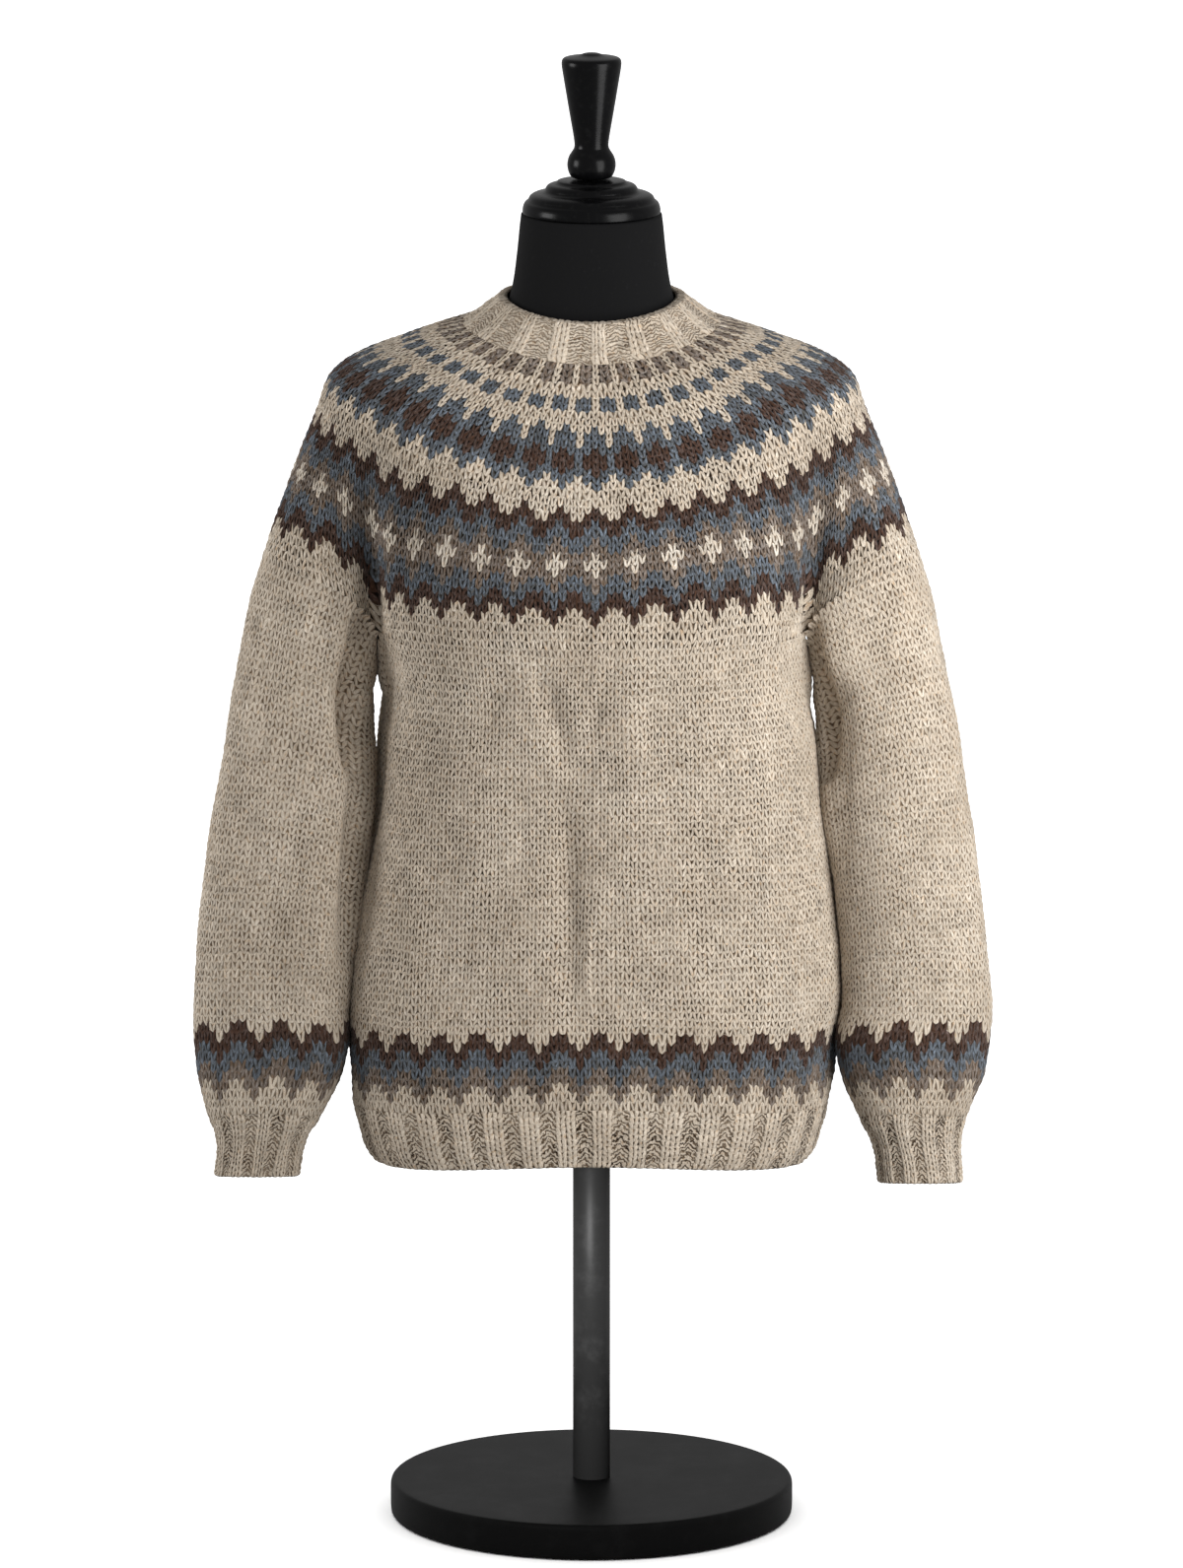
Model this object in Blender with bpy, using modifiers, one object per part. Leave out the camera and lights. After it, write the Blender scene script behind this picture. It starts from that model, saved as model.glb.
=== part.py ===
"""A nordic yoke sweater on a limbless dress form, with its turned cap, pole and round base.

Lengths are in millimetres here and become metres when a mesh is made. +Z is up, the front
faces -Y, and the origin is the centre of the base's underside.

The sweater is knitted in the round from five tubes: a circular yoke that splits into a body
and two sleeves, and ribs at the neck, hem and wrists. Around the yoke a place is counted in
repeats of its pattern (44 in all, 0 at the centre front, 22 at the centre back), so the same
count marks where the front, the sleeves and the back begin.
"""

import bpy
import numpy as np

MM = 0.001

# --- the sweater's counts, in pattern repeats --------------------------------------------------
FRONT_HALF = 7.0                # centre front to the armhole
SLEEVE_HALF = 4.0               # shoulder line to the armhole
GUSSET = 1.6                    # underarm stitches between body and sleeve
YOKE_HALF = 2 * FRONT_HALF + 2 * SLEEVE_HALF
BODY_HALF = 2 * FRONT_HALF + GUSSET
SLEEVE_ROUND = 2 * SLEEVE_HALF + GUSSET
ARMHOLE_ROW = 38.0              # knitted rows from the neckband to the armholes

# --- cloth -------------------------------------------------------------------------------------
WALL = 3.0
SEAM = 0.3                      # air between two pieces that are knitted together
ARMHOLE_SEAM = 0.5              # the same under the yoke's slanting edge over a sleeve
NECK_TILT = 50.0                # degrees: the wall's lean where neckband and yoke meet
RIB_HEIGHT = 2.0
RIB_POINTS = 4                  # two raised and two sunk columns in each rib
OVAL = 0.9                      # under 1 squares an ellipse off a little

# --- heights -----------------------------------------------------------------------------------
CORNER_DROP = 6.0               # the armhole's corner under the centre front
GUSSET_DROP = 24.0              # how far the underarm hangs below that corner
RIB_TOP = 352.0                 # middle height of the body's lower edge
HEM_LENGTH = 47.5
CUFF_TOP = 341.0                # at the sleeve's inner and outer lines
CUFF_BOW = 8.0                  # how much higher it lies in front and behind
CUFF_ENDS = {"left": 283.5, "right": 289.0}
CUFF_LEAN = 6.0                 # a cuff's end is this much higher in front, lower behind
CUFF_SWING = {"left": 0.0, "right": 3.0}    # how far a cuff's end stands further out

YOKE_COLUMNS = ("row", "side", "front", "back", "side_z", "front_z", "back_z", "split")
YOKE_SECTIONS = (
    (0, 103.0, 90.0, 84.0, 989.0, 968.5, 1000.0, 0.0),
    (4, 132.0, 102.0, 97.0, 982.0, 948.0, 983.0, 0.0),
    (8, 161.5, 112.5, 108.0, 972.5, 927.5, 963.0, 0.0),
    (12, 190.0, 121.0, 117.0, 961.5, 905.0, 941.5, 0.0),
    (16, 211.5, 127.5, 124.0, 945.5, 881.5, 918.0, 0.06),
    (20, 221.0, 132.5, 129.0, 920.0, 857.5, 892.0, 0.18),
    (26, 236.5, 137.0, 133.5, 881.0, 821.0, 848.0, 0.48),
    (32, 251.5, 139.0, 136.0, 840.0, 784.0, 800.0, 0.80),
    (38, 266.5, 139.0, 136.0, 795.0, 744.5, 748.0, 1.0),
)
YOKE_RINGS = (0, 4, 8, 12, 15, 18, 22, 27, 32, 38)

BODY_COLUMNS = ("down", "side", "front", "back")
BODY_SECTIONS = (
    (0.00, 174.5, 139.0, 136.0),
    (0.06, 171.0, 138.0, 135.0),
    (0.11, 168.5, 136.5, 133.0),
    (0.20, 173.0, 133.0, 130.0),
    (0.32, 177.5, 129.0, 126.0),
    (0.45, 184.0, 125.0, 123.0),
    (0.58, 190.0, 122.0, 121.0),
    (0.72, 195.0, 120.5, 120.0),
    (0.86, 196.5, 119.5, 119.0),
    (1.00, 192.5, 117.0, 116.0),
)
BODY_RINGS = (0.0, 0.05, 0.11, 0.2, 0.32, 0.45, 0.58, 0.72, 0.86, 1.0)

HEM_COLUMNS = ("down", "side", "front", "back")
HEM_SECTIONS = (
    (0.0, 192.5, 117.0, 116.0),
    (0.5, 185.8, 115.0, 114.0),
    (0.8, 180.5, 113.5, 112.5),
    (1.0, 173.5, 112.0, 111.0),
)

SLEEVE_COLUMNS = ("down", "outer", "inner", "depth", "shift")
SLEEVE_SECTIONS = (
    (0.00, 266.5, 175.0, 52.0, 0.0),
    (0.08, 276.5, 177.0, 52.0, -3.0),
    (0.15, 285.0, 176.5, 51.0, -8.0),
    (0.25, 294.0, 175.6, 49.5, -15.0),
    (0.35, 301.5, 178.2, 47.0, -21.0),
    (0.50, 311.5, 185.0, 44.0, -25.0),
    (0.65, 320.0, 191.2, 42.0, -26.0),
    (0.78, 324.5, 194.6, 41.0, -26.0),
    (0.88, 323.5, 195.6, 41.0, -26.0),
    (0.95, 319.0, 206.0, 40.0, -26.0),
    (1.00, 312.5, 217.0, 39.0, -26.0),
)
SLEEVE_RINGS = (0.0, 0.04, 0.08, 0.15, 0.25, 0.35, 0.5, 0.65, 0.78, 0.88, 0.95, 1.0)

CUFF_COLUMNS = SLEEVE_COLUMNS
CUFF_SECTIONS = (
    (0.00, 312.0, 217.5, 38.5, -26.0),
    (0.30, 303.0, 227.0, 35.5, -26.0),
    (0.55, 299.7, 231.0, 33.5, -26.0),
    (0.80, 299.7, 232.5, 32.5, -26.0),
    (1.00, 300.5, 234.0, 32.0, -26.0),
)

NECKBAND_COLUMNS = ("up", "side", "front", "back", "side_z", "front_z", "back_z")
NECKBAND_SECTIONS = (
    (0.0, 103.0, 90.0, 84.0, 989.0, 968.5, 1000.0),
    (0.4, 92.0, 84.5, 80.0, 995.5, 980.0, 1006.0),
    (0.75, 81.5, 80.5, 76.5, 1004.0, 991.0, 1011.5),
    (1.0, 75.5, 78.5, 74.5, 1010.0, 999.0, 1014.5),
)

# How far the cloth hangs outwards of an even drape on each side, by height: where a sleeve lies
# against the body, and at the sleeve's outer line.
DRAPE_COLUMNS = ("z", "inner", "outer")
DRAPE_LINES = (195.0, 305.0)
DRAPES = {
    "left": (
        (270.0, 0.0, 0.0), (310.0, 0.0, 0.0), (325.0, -0.5, -3.0), (341.0, 0.0, -6.0),
        (357.0, 1.0, -4.5), (372.0, 2.0, -2.0), (390.0, 2.6, -2.0), (408.0, 4.5, -1.5),
        (430.0, 9.0, 0.0), (460.0, 10.0, 0.0), (500.0, 10.8, 0.0), (540.0, 10.8, 0.0),
        (600.0, 12.2, 0.0), (630.0, 12.6, 0.0), (655.0, 11.5, 0.0), (675.0, 9.0, 0.0),
        (697.0, 5.8, 0.0), (720.0, 1.5, 0.0), (738.0, 0.0, 0.0), (746.0, 0.0, 0.0),
        (754.0, 0.0, 0.0), (800.0, 0.0, 0.0),
    ),
    "right": (
        (270.0, 0.0, 2.4), (300.0, 2.0, 2.4), (320.0, 2.0, 2.4), (338.0, 1.5, 1.0),
        (350.0, 2.4, 0.0), (372.0, 2.6, -1.0), (395.0, 2.4, -2.5), (430.0, 3.0, -2.5),
        (455.0, 2.2, -1.5), (490.0, 0.3, 0.0), (540.0, 0.0, 0.0), (800.0, 0.0, 0.0),
    ),
}

# Folds are soft troughs (or ridges, where the depth is negative) that run down a tube. A place
# around is in repeats: from the centre front on the body (the -X side is negative), and from
# the outermost line on a sleeve (towards the front is negative).
FOLD_COLUMNS = ("around", "start", "end", "width", "depth")
BODY_FOLDS = (
    (-0.4, -0.05, 0.62, 0.9, 3.2),
    (-6.1, -0.05, 0.24, 0.7, 4.5),
    (5.9, -0.05, 0.20, 0.7, 4.0),
    (3.6, 0.10, 0.75, 1.0, -1.8),
    (-3.9, 0.15, 0.85, 1.1, -2.0),
    (14.9, 0.00, 0.70, 1.0, 3.0),
    (-12.2, 0.10, 0.85, 1.1, 2.4),
    (11.8, 0.00, 0.60, 1.0, 2.6),
)
RIGHT_SLEEVE_FOLDS = (
    (-1.9, -0.05, 0.42, 0.6, 4.5),
    (-3.4, -0.02, 0.16, 0.5, -3.0),
    (1.7, 0.05, 0.60, 0.7, 4.0),
)
LEFT_SLEEVE_FOLDS = (
    (-2.3, -0.05, 0.36, 0.6, 4.0),
    (-3.5, -0.02, 0.18, 0.5, -3.5),
    (1.4, 0.00, 0.50, 0.7, 3.5),
)

# --- dress form and stand ----------------------------------------------------------------------
TORSO_COLUMNS = ("ring", "side", "front", "back", "side_z", "front_z", "back_z")
TORSO_SECTIONS = (
    (0, 56.8, 56.8, 56.8, 1076.0, 1076.0, 1076.0),
    (1, 58.0, 58.0, 58.0, 1066.0, 1066.0, 1066.0),
    (2, 60.2, 60.2, 60.2, 1044.0, 1044.0, 1044.0),
    (3, 63.5, 63.0, 63.0, 1020.0, 1018.0, 1020.0),
    (4, 69.0, 67.0, 67.0, 1000.0, 996.0, 1004.0),
    (5, 79.0, 74.0, 72.0, 989.5, 978.0, 997.0),
    (6, 99.0, 84.0, 79.0, 984.0, 965.0, 992.0),
    (7, 128.0, 96.5, 92.0, 979.0, 945.0, 979.0),
    (8, 157.0, 106.5, 102.5, 969.0, 924.5, 959.5),
    (9, 182.0, 114.5, 111.0, 957.5, 902.5, 938.0),
    (10, 194.0, 119.5, 117.0, 941.0, 877.0, 914.0),
    (11, 197.0, 123.5, 120.5, 916.0, 853.0, 887.0),
    (12, 191.0, 127.5, 121.5, 868.0, 824.0, 846.0),
    (13, 174.0, 129.0, 119.0, 808.0, 790.0, 800.0),
    (14, 160.0, 125.0, 113.0, 748.0, 746.0, 747.0),
    (15, 148.0, 112.0, 102.0, 690.0, 690.0, 690.0),
    (16, 136.0, 96.0, 91.0, 620.0, 620.0, 620.0),
    (17, 140.0, 93.0, 94.0, 555.0, 555.0, 555.0),
    (18, 155.0, 98.0, 105.0, 485.0, 485.0, 485.0),
    (19, 164.0, 101.0, 109.0, 425.0, 425.0, 425.0),
    (20, 162.0, 99.0, 107.0, 396.0, 396.0, 396.0),
    (21, 155.0, 93.0, 101.0, 386.0, 386.0, 386.0),
    (22, 143.0, 82.0, 90.0, 382.0, 382.0, 382.0),
)
TORSO_SIDES = 40

CAP_PROFILE = (
    (0.0, 1104.9), (26.8, 1104.6), (28.6, 1101.6), (34.6, 1100.6), (37.0, 1098.0),
    (38.0, 1094.6), (46.4, 1093.2), (50.0, 1091.0), (51.2, 1087.8), (54.0, 1086.0),
    (55.4, 1082.4), (55.8, 1078.8), (55.2, 1076.3), (0.0, 1076.3),
)
FINIAL_PROFILE = (
    (0.0, 1207.5), (6.0, 1207.0), (9.6, 1205.2), (20.5, 1203.8), (23.6, 1202.4),
    (24.4, 1198.6), (23.4, 1192.0), (21.4, 1180.0), (19.4, 1168.0), (17.2, 1155.0),
    (14.9, 1142.0), (13.4, 1131.6), (15.2, 1128.0), (18.6, 1123.2), (20.0, 1116.0),
    (18.0, 1108.4), (14.4, 1105.2), (0.0, 1105.2),
)
POLE_RADIUS = 15.2
BASE_HEIGHT = 30.0
BASE_PROFILE = (
    (0.0, 30.0), (160.4, 30.0), (163.0, 29.2), (164.3, 27.2), (164.6, 24.0),
    (164.6, 4.5), (163.4, 1.3), (160.2, 0.0), (0.0, 0.0),
)
TURNED_STEPS = 36
POLE_SIDES = 24

COLOURS = {
    "oatmeal wool": (0.50, 0.43, 0.35, 0.95, 0.0),
    "patterned wool": (0.20, 0.19, 0.18, 0.95, 0.0),
    "black jersey": (0.012, 0.012, 0.013, 0.85, 0.0),
    "black wood": (0.010, 0.010, 0.011, 0.35, 0.0),
    "black metal": (0.040, 0.040, 0.042, 0.35, 0.6),
}


def between(columns, sections, place):
    """Read a section table at places along its first column, on a smooth curve through its rows.

    Each stretch is a cubic whose slopes at both ends are the mean slopes of the table there.
    """
    knots = np.array(sections, float)
    at = knots[:, 0]
    slopes = np.gradient(knots, at, axis=0)
    place = np.atleast_1d(np.asarray(place, float))
    i = np.clip(np.searchsorted(at, place, side="right") - 1, 0, len(at) - 2)
    span = (at[i + 1] - at[i])[:, None]
    t = (place - at[i])[:, None] / span
    rows = ((2 * t**3 - 3 * t**2 + 1) * knots[i] + (t**3 - 2 * t**2 + t) * span * slopes[i]
            + (3 * t**2 - 2 * t**3) * knots[i + 1] + (t**3 - t**2) * span * slopes[i + 1])
    return [dict(zip(columns, row)) for row in rows]


def spread(curve, share):
    """Give the points of a plane curve at shares (0 to 1) of its length."""
    steps = np.hypot(*np.diff(curve, axis=0).T)
    length = np.concatenate(([0.0], np.cumsum(steps)))
    length /= length[-1]
    return np.stack([np.interp(share, length, curve[:, k]) for k in (0, 1)], axis=-1)


def half_oval(side, front, back, share):
    """Half of a rounded oval seen from above, from the centre front past +X to the back."""
    t = np.linspace(0.0, np.pi, 361)
    depth = np.where(t < np.pi / 2, front, back)
    curve = np.stack([side * np.sin(t)**OVAL,
                      -depth * np.sign(np.cos(t)) * np.abs(np.cos(t))**OVAL], axis=-1)
    return spread(curve, share)


def round_tube(section, around):
    """A sleeve's ellipse seen from above, by its place around: 0 is its outermost line."""
    t = np.linspace(-np.pi, np.pi, 361)
    half = (section["outer"] - section["inner"]) / 2
    curve = np.stack([section["outer"] - half + half * np.cos(t),
                      section["shift"] + section["depth"] * np.sin(t)], axis=-1)
    return spread(curve, around / SLEEVE_ROUND + 0.5)


def body_part(m):
    """Turn a place on the yoke's half into one on the body's half, which has the gusset too."""
    return np.where(m < YOKE_HALF / 2, m, m - 2 * SLEEVE_HALF + GUSSET)


def split_outline(section, m):
    """The yoke's outline where body and sleeves part: two arcs that meet in a sharp corner."""
    def torso(place):
        return half_oval(BODY_SECTIONS[0][1], section["front"], section["back"], place / BODY_HALF)

    corners = torso(np.array([FRONT_HALF, FRONT_HALF + GUSSET]))
    inner = 2 * corners[0, 0] - section["side"] + (section["side"] - corners[0, 0]) * 0.93
    tube = {"outer": section["side"], "inner": inner, "depth": SLEEVE_SECTIONS[0][3], "shift": 0.0}
    ends = round_tube(tube, np.array([-SLEEVE_HALF, SLEEVE_HALF]))
    p = np.clip((m - FRONT_HALF) / (2 * SLEEVE_HALF), 0.0, 1.0)[:, None]
    arc = (round_tube(tube, np.clip(m - YOKE_HALF / 2, -SLEEVE_HALF, SLEEVE_HALF))
           + (1 - p) * (corners[0] - ends[0]) + p * (corners[1] - ends[1]))
    on_sleeve = np.abs(m - YOKE_HALF / 2) < SLEEVE_HALF
    return np.where(on_sleeve[:, None], arc, torso(body_part(m)))


def yoke_height(section, m):
    """Heights round one of the yoke's rows: level on an oval, stepped where it is split."""
    middle = np.where(m < YOKE_HALF / 2, section["front_z"], section["back_z"])
    whole = middle + (section["side_z"] - middle) * np.sin(np.pi * m / YOKE_HALF)**2
    rise = np.clip(1 - np.abs(m - YOKE_HALF / 2) / SLEEVE_HALF, 0.0, 1.0)
    corner = middle - CORNER_DROP
    to_corner = np.clip(np.minimum(m, YOKE_HALF - m) / FRONT_HALF, 0.0, 1.0)
    split = np.where(rise > 0, corner + (section["side_z"] - corner) * (1 - (1 - rise)**3),
                     middle - CORNER_DROP * to_corner**3)
    return whole + section["split"] * (split - whole)


def yoke_ring(section, s):
    """One row of the yoke as points, for places s around it."""
    turn = (np.asarray(s, float) + YOKE_HALF) % (2 * YOKE_HALF) - YOKE_HALF
    m = np.abs(turn)
    xy = half_oval(section["side"], section["front"], section["back"], m / YOKE_HALF)
    if section["split"] > 0:
        xy = xy + section["split"] * (split_outline(section, m) - xy)
    hand = np.where(turn < 0, -1.0, 1.0)
    return np.stack([hand * xy[:, 0], xy[:, 1], yoke_height(section, m)], axis=-1)


def oval_ring(section, s):
    """A ring that is an oval from above and bends from its side height to front and back."""
    return yoke_ring({**section, "split": 0.0}, s)


def gusset_drop(g):
    """How far the underarm hangs at a share g of its width."""
    return GUSSET_DROP * np.sin(np.pi * g)


def armhole_z(q):
    """Height of the body's upper edge at a place q on its half."""
    last = between(YOKE_COLUMNS, YOKE_SECTIONS, ARMHOLE_ROW)[0]
    m = np.where(q > FRONT_HALF, np.maximum(q - GUSSET, FRONT_HALF) + 2 * SLEEVE_HALF, q)
    edge = yoke_height(last, np.where(q < FRONT_HALF + GUSSET, np.minimum(q, FRONT_HALF), m))
    g = np.clip((q - FRONT_HALF) / GUSSET, 0.0, 1.0)
    back_corner = last["back_z"] - CORNER_DROP
    front_corner = last["front_z"] - CORNER_DROP
    return np.where((q > FRONT_HALF) & (q < FRONT_HALF + GUSSET),
                    front_corner + (back_corner - front_corner) * g, edge) - gusset_drop(g)


def sag(q):
    """The lower rows ride up at the centre front and hang at the sides."""
    forward = np.cos(np.pi * q / BODY_HALF)
    return 6.0 * forward + 11.0 * forward**2 - 6.0


def folded(points, direction, around, down, folds, round_trip):
    """Sink a tube's points along its folds, each a soft bell across and a soft start and end."""
    depth = np.zeros(points.shape[:2])
    for fold in folds:
        f = dict(zip(FOLD_COLUMNS, fold))
        off = (around - f["around"] + round_trip / 2) % round_trip - round_trip / 2
        across = np.exp(-(off / f["width"])**2)
        middle, reach = (f["start"] + f["end"]) / 2, (f["end"] - f["start"]) / 2
        along = np.clip(1 - ((down - middle) / reach)**2, 0.0, 1.0)**2
        depth += f["depth"] * along * across
    return points - direction * depth[..., None]


def hung(grid, positive="left", negative="right"):
    """Move cloth sideways by its height, on each side by that side's table."""
    heights = np.arange(270.0, 801.0, 2.0)
    x, z = grid[..., 0], grid[..., 2]
    moved = grid.copy()
    for side, hand in ((positive, 1.0), (negative, -1.0)):
        rows = between(DRAPE_COLUMNS, DRAPES[side], heights)
        inner, outer = (np.interp(z, heights, [row[key] for row in rows])
                        for key in ("inner", "outer"))
        near = np.clip(x * hand / DRAPE_LINES[0], 0.0, 1.0)**2
        over = (x * hand - DRAPE_LINES[0]) / (DRAPE_LINES[1] - DRAPE_LINES[0])
        over = np.clip(over, 0.0, 1.0)
        moved[..., 0] += hand * (inner * near * (1 - over) + outer * over)
    return moved


def unit(vectors):
    """The same directions with length one."""
    return vectors / np.linalg.norm(vectors, axis=-1, keepdims=True)


def level_out(ring):
    """Level directions out of a ring that runs round against the clock."""
    ahead = np.roll(ring, -1, axis=0) - np.roll(ring, 1, axis=0)
    return unit(np.column_stack([ahead[:, 1], -ahead[:, 0], np.zeros(len(ring))]))


def edge_down(ring):
    """Directions that run down the cloth, square to its upper edge."""
    ahead = np.roll(ring, -1, axis=0) - np.roll(ring, 1, axis=0)
    return unit(np.cross(level_out(ring), ahead)) * -1.0


def outward(grid, top_tilt=0.0, bottom_tilt=0.0):
    """Directions out of a grid of rings that run top to bottom.

    Both end rings take a stated tilt, so that two pieces share it where they meet.
    """
    around = np.roll(grid, -1, axis=1) - np.roll(grid, 1, axis=1)
    normal = unit(np.cross(np.gradient(grid, axis=0), around))
    for end, tilt in ((0, top_tilt), (-1, bottom_tilt)):
        lean = np.radians(tilt)
        normal[end] = level_out(grid[end]) * np.cos(lean) + [0.0, 0.0, np.sin(lean)]
    return normal


def body_places(fine=1):
    """Places round the body: even steps over front and back, finer ones on the gussets."""
    steps = [np.arange(0, FRONT_HALF, 0.5 / fine),
             np.linspace(FRONT_HALF, FRONT_HALF + GUSSET, 6 * fine, endpoint=False),
             np.arange(FRONT_HALF + GUSSET, BODY_HALF - 0.01, 0.5 / fine)]
    half = np.concatenate(steps)
    return np.concatenate([half, 2 * BODY_HALF - np.append(half[1:], BODY_HALF)[::-1]])


def body_half(around):
    """Split places round the body into a distance from the centre front and a hand."""
    turn = (around + BODY_HALF) % (2 * BODY_HALF) - BODY_HALF
    return np.abs(turn), np.where(turn < 0, -1.0, 1.0)


def body_grid(around, down):
    """The body's outer surface: its oval at each share of the way down from armhole to rib."""
    q, hand = body_half(around)
    top = armhole_z(q)
    bottom = RIB_TOP + sag(q)
    at_gusset = np.abs(q - FRONT_HALF - GUSSET / 2) < GUSSET / 2 + 0.01
    rings = []
    for section, share in zip(between(BODY_COLUMNS, BODY_SECTIONS, down), down):
        xy = half_oval(section["side"], section["front"], section["back"], q / BODY_HALF)
        clear = SEAM / 2 * at_gusset * np.exp(-share / 0.05)
        rings.append(np.column_stack([hand * (xy[:, 0] - clear), xy[:, 1],
                                      top + (bottom - top) * share]))
    grid = np.array(rings)
    grid = folded(grid, outward(grid), (hand * q)[None, :], np.array(down)[:, None],
                  BODY_FOLDS, 2 * BODY_HALF)
    grid[0] += edge_down(grid[0]) * SEAM
    return hung(grid)


def hem_grid(around, down):
    """The hem rib's plain outer surface, hung from the body's lower edge."""
    q, hand = body_half(around)
    rings = []
    for section, share in zip(between(HEM_COLUMNS, HEM_SECTIONS, down), down):
        xy = half_oval(section["side"], section["front"], section["back"], q / BODY_HALF)
        z = RIB_TOP + sag(q) - SEAM - HEM_LENGTH * share
        rings.append(np.column_stack([hand * xy[:, 0], xy[:, 1], z]))
    return hung(np.array(rings))


def sleeve_places(fine=1):
    """Places round a sleeve, from its inner line past the front and outside and back again."""
    steps = [np.linspace(-SLEEVE_HALF - GUSSET / 2, -SLEEVE_HALF, 3 * fine, endpoint=False),
             np.arange(-SLEEVE_HALF, SLEEVE_HALF, 0.5 / fine),
             np.linspace(SLEEVE_HALF, SLEEVE_HALF + GUSSET / 2, 3 * fine, endpoint=False)]
    return np.concatenate(steps)


def sleeve_top(q):
    """The sleeve's upper edge: the yoke's split outline, closed by the underarm's gusset."""
    last = between(YOKE_COLUMNS, YOKE_SECTIONS, ARMHOLE_ROW)[0]
    joined = yoke_ring(last, np.clip(q, -SLEEVE_HALF, SLEEVE_HALF) + YOKE_HALF / 2)
    g = np.clip(np.where(q < 0, -SLEEVE_HALF - q, GUSSET + SLEEVE_HALF - q), 0.0, GUSSET)
    under = half_oval(BODY_SECTIONS[0][1], last["front"], last["back"],
                      (FRONT_HALF + g) / BODY_HALF)
    under = np.column_stack([under[:, 0] + SEAM / 2, under[:, 1], armhole_z(FRONT_HALF + g)])
    edge = np.where((np.abs(q) > SLEEVE_HALF - 0.01)[:, None], under, joined)
    return edge + edge_down(edge) * ARMHOLE_SEAM


def cuff_edge(q):
    """Height of the line where sleeve and cuff meet: it bows up in front and behind."""
    corners = sleeve_places()
    bow = CUFF_BOW * np.sin(2 * np.pi * corners / SLEEVE_ROUND)**2
    return CUFF_TOP + np.interp(q, corners, bow, period=SLEEVE_ROUND)


def sleeve_grid(q, down, folds, side):
    """The +X sleeve's outer surface, eased from the armhole's edge into a plain tube."""
    top = sleeve_top(q)
    tube_top = round_tube(dict(zip(SLEEVE_COLUMNS, SLEEVE_SECTIONS[0])), q)
    level = top[:, 2].mean()
    rings = []
    for section, share in zip(between(SLEEVE_COLUMNS, SLEEVE_SECTIONS, down), down):
        ease = max(0.0, 1 - share / 0.2)**2
        xy = round_tube(section, q) + (top[:, :2] - tube_top) * ease
        z = level + (cuff_edge(q) - level) * share + (top[:, 2] - level) * (1 - share)**2.2
        rings.append(np.column_stack([xy, z]))
    grid = np.array(rings)
    grid = folded(grid, outward(grid), q[None, :], np.array(down)[:, None], folds, SLEEVE_ROUND)
    return hung(grid, side)


def cuff_grid(q, down, side):
    """The +X cuff's plain outer surface, down to its leaning end; the sides differ a little."""
    rings = []
    for section, share in zip(between(CUFF_COLUMNS, CUFF_SECTIONS, down), down):
        top = cuff_edge(q) - SEAM
        xy = round_tube(section, q)
        end = CUFF_ENDS[side] + CUFF_LEAN * (section["shift"] - xy[:, 1]) / section["depth"]
        xy[:, 0] += CUFF_SWING[side] * (3 * share**2 - 2 * share**3)
        rings.append(np.column_stack([xy, top + (end - top) * share]))
    return hung(np.array(rings), side)


def mirrored(grid):
    """The same rings on the -X side, still running the same way round."""
    return (grid * [-1.0, 1.0, 1.0])[:, ::-1]


def raised(grid, direction):
    """Lift every other pair of columns into ribs, flat at the edge that joins plain knitting."""
    columns = np.arange(grid.shape[1]) % RIB_POINTS < RIB_POINTS // 2
    fade = np.ones(len(grid))
    fade[0] = 0.0
    return grid + direction * (RIB_HEIGHT * fade[:, None] * columns)[..., None]


def material(name):
    """A Principled material from its row in COLOURS: red, green, blue, roughness, metallic."""
    found = bpy.data.materials.get(name)
    if found:
        return found
    made = bpy.data.materials.new(name)
    made.use_nodes = True
    shader = made.node_tree.nodes["Principled BSDF"]
    red, green, blue, rough, metal = COLOURS[name]
    shader.inputs["Base Color"].default_value = (red, green, blue, 1.0)
    shader.inputs["Roughness"].default_value = rough
    shader.inputs["Metallic"].default_value = metal
    made.diffuse_color = (red, green, blue, 1.0)
    return made


def add_mesh(name, points, faces, finish):
    """Add a closed mesh, with its points given in millimetres."""
    mesh = bpy.data.meshes.new(name)
    mesh.from_pydata((np.asarray(points) * MM).tolist(), [], faces)
    mesh.materials.append(material(finish))
    mesh.shade_smooth()
    mesh.set_sharp_from_angle(angle=np.radians(50))
    piece = bpy.data.objects.new(name, mesh)
    bpy.data.collections[MODEL].objects.link(piece)
    return piece


def band(upper, lower, count):
    """Quads between two rings of a mesh, whose first points have the given numbers."""
    return [(upper + j, lower + j, lower + (j + 1) % count, upper + (j + 1) % count)
            for j in range(count)]


def cloth_tube(name, outside, inside, finish):
    """A closed wall between two sheets of rings that run top to bottom."""
    rings, count = outside.shape[:2]
    points = np.concatenate([outside.reshape(-1, 3), inside.reshape(-1, 3)])
    shift = rings * count
    faces = []
    for i in range(rings - 1):
        faces += band(i * count, (i + 1) * count, count)
        faces += band(shift + (i + 1) * count, shift + i * count, count)
    faces += band(shift, 0, count)
    faces += band((rings - 1) * count, shift + (rings - 1) * count, count)
    return add_mesh(name, points, faces, finish)


def plain_tube(name, grid, finish, top_tilt=0.0):
    """Cloth of even thickness inside a surface."""
    return cloth_tube(name, grid, grid - outward(grid, top_tilt) * WALL, finish)


def ribbed_tube(name, grid, finish):
    """Cloth whose ribs rise from its outer side, over a plain inner side."""
    direction = outward(grid)
    return cloth_tube(name, raised(grid, direction), grid - direction * WALL, finish)


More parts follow.
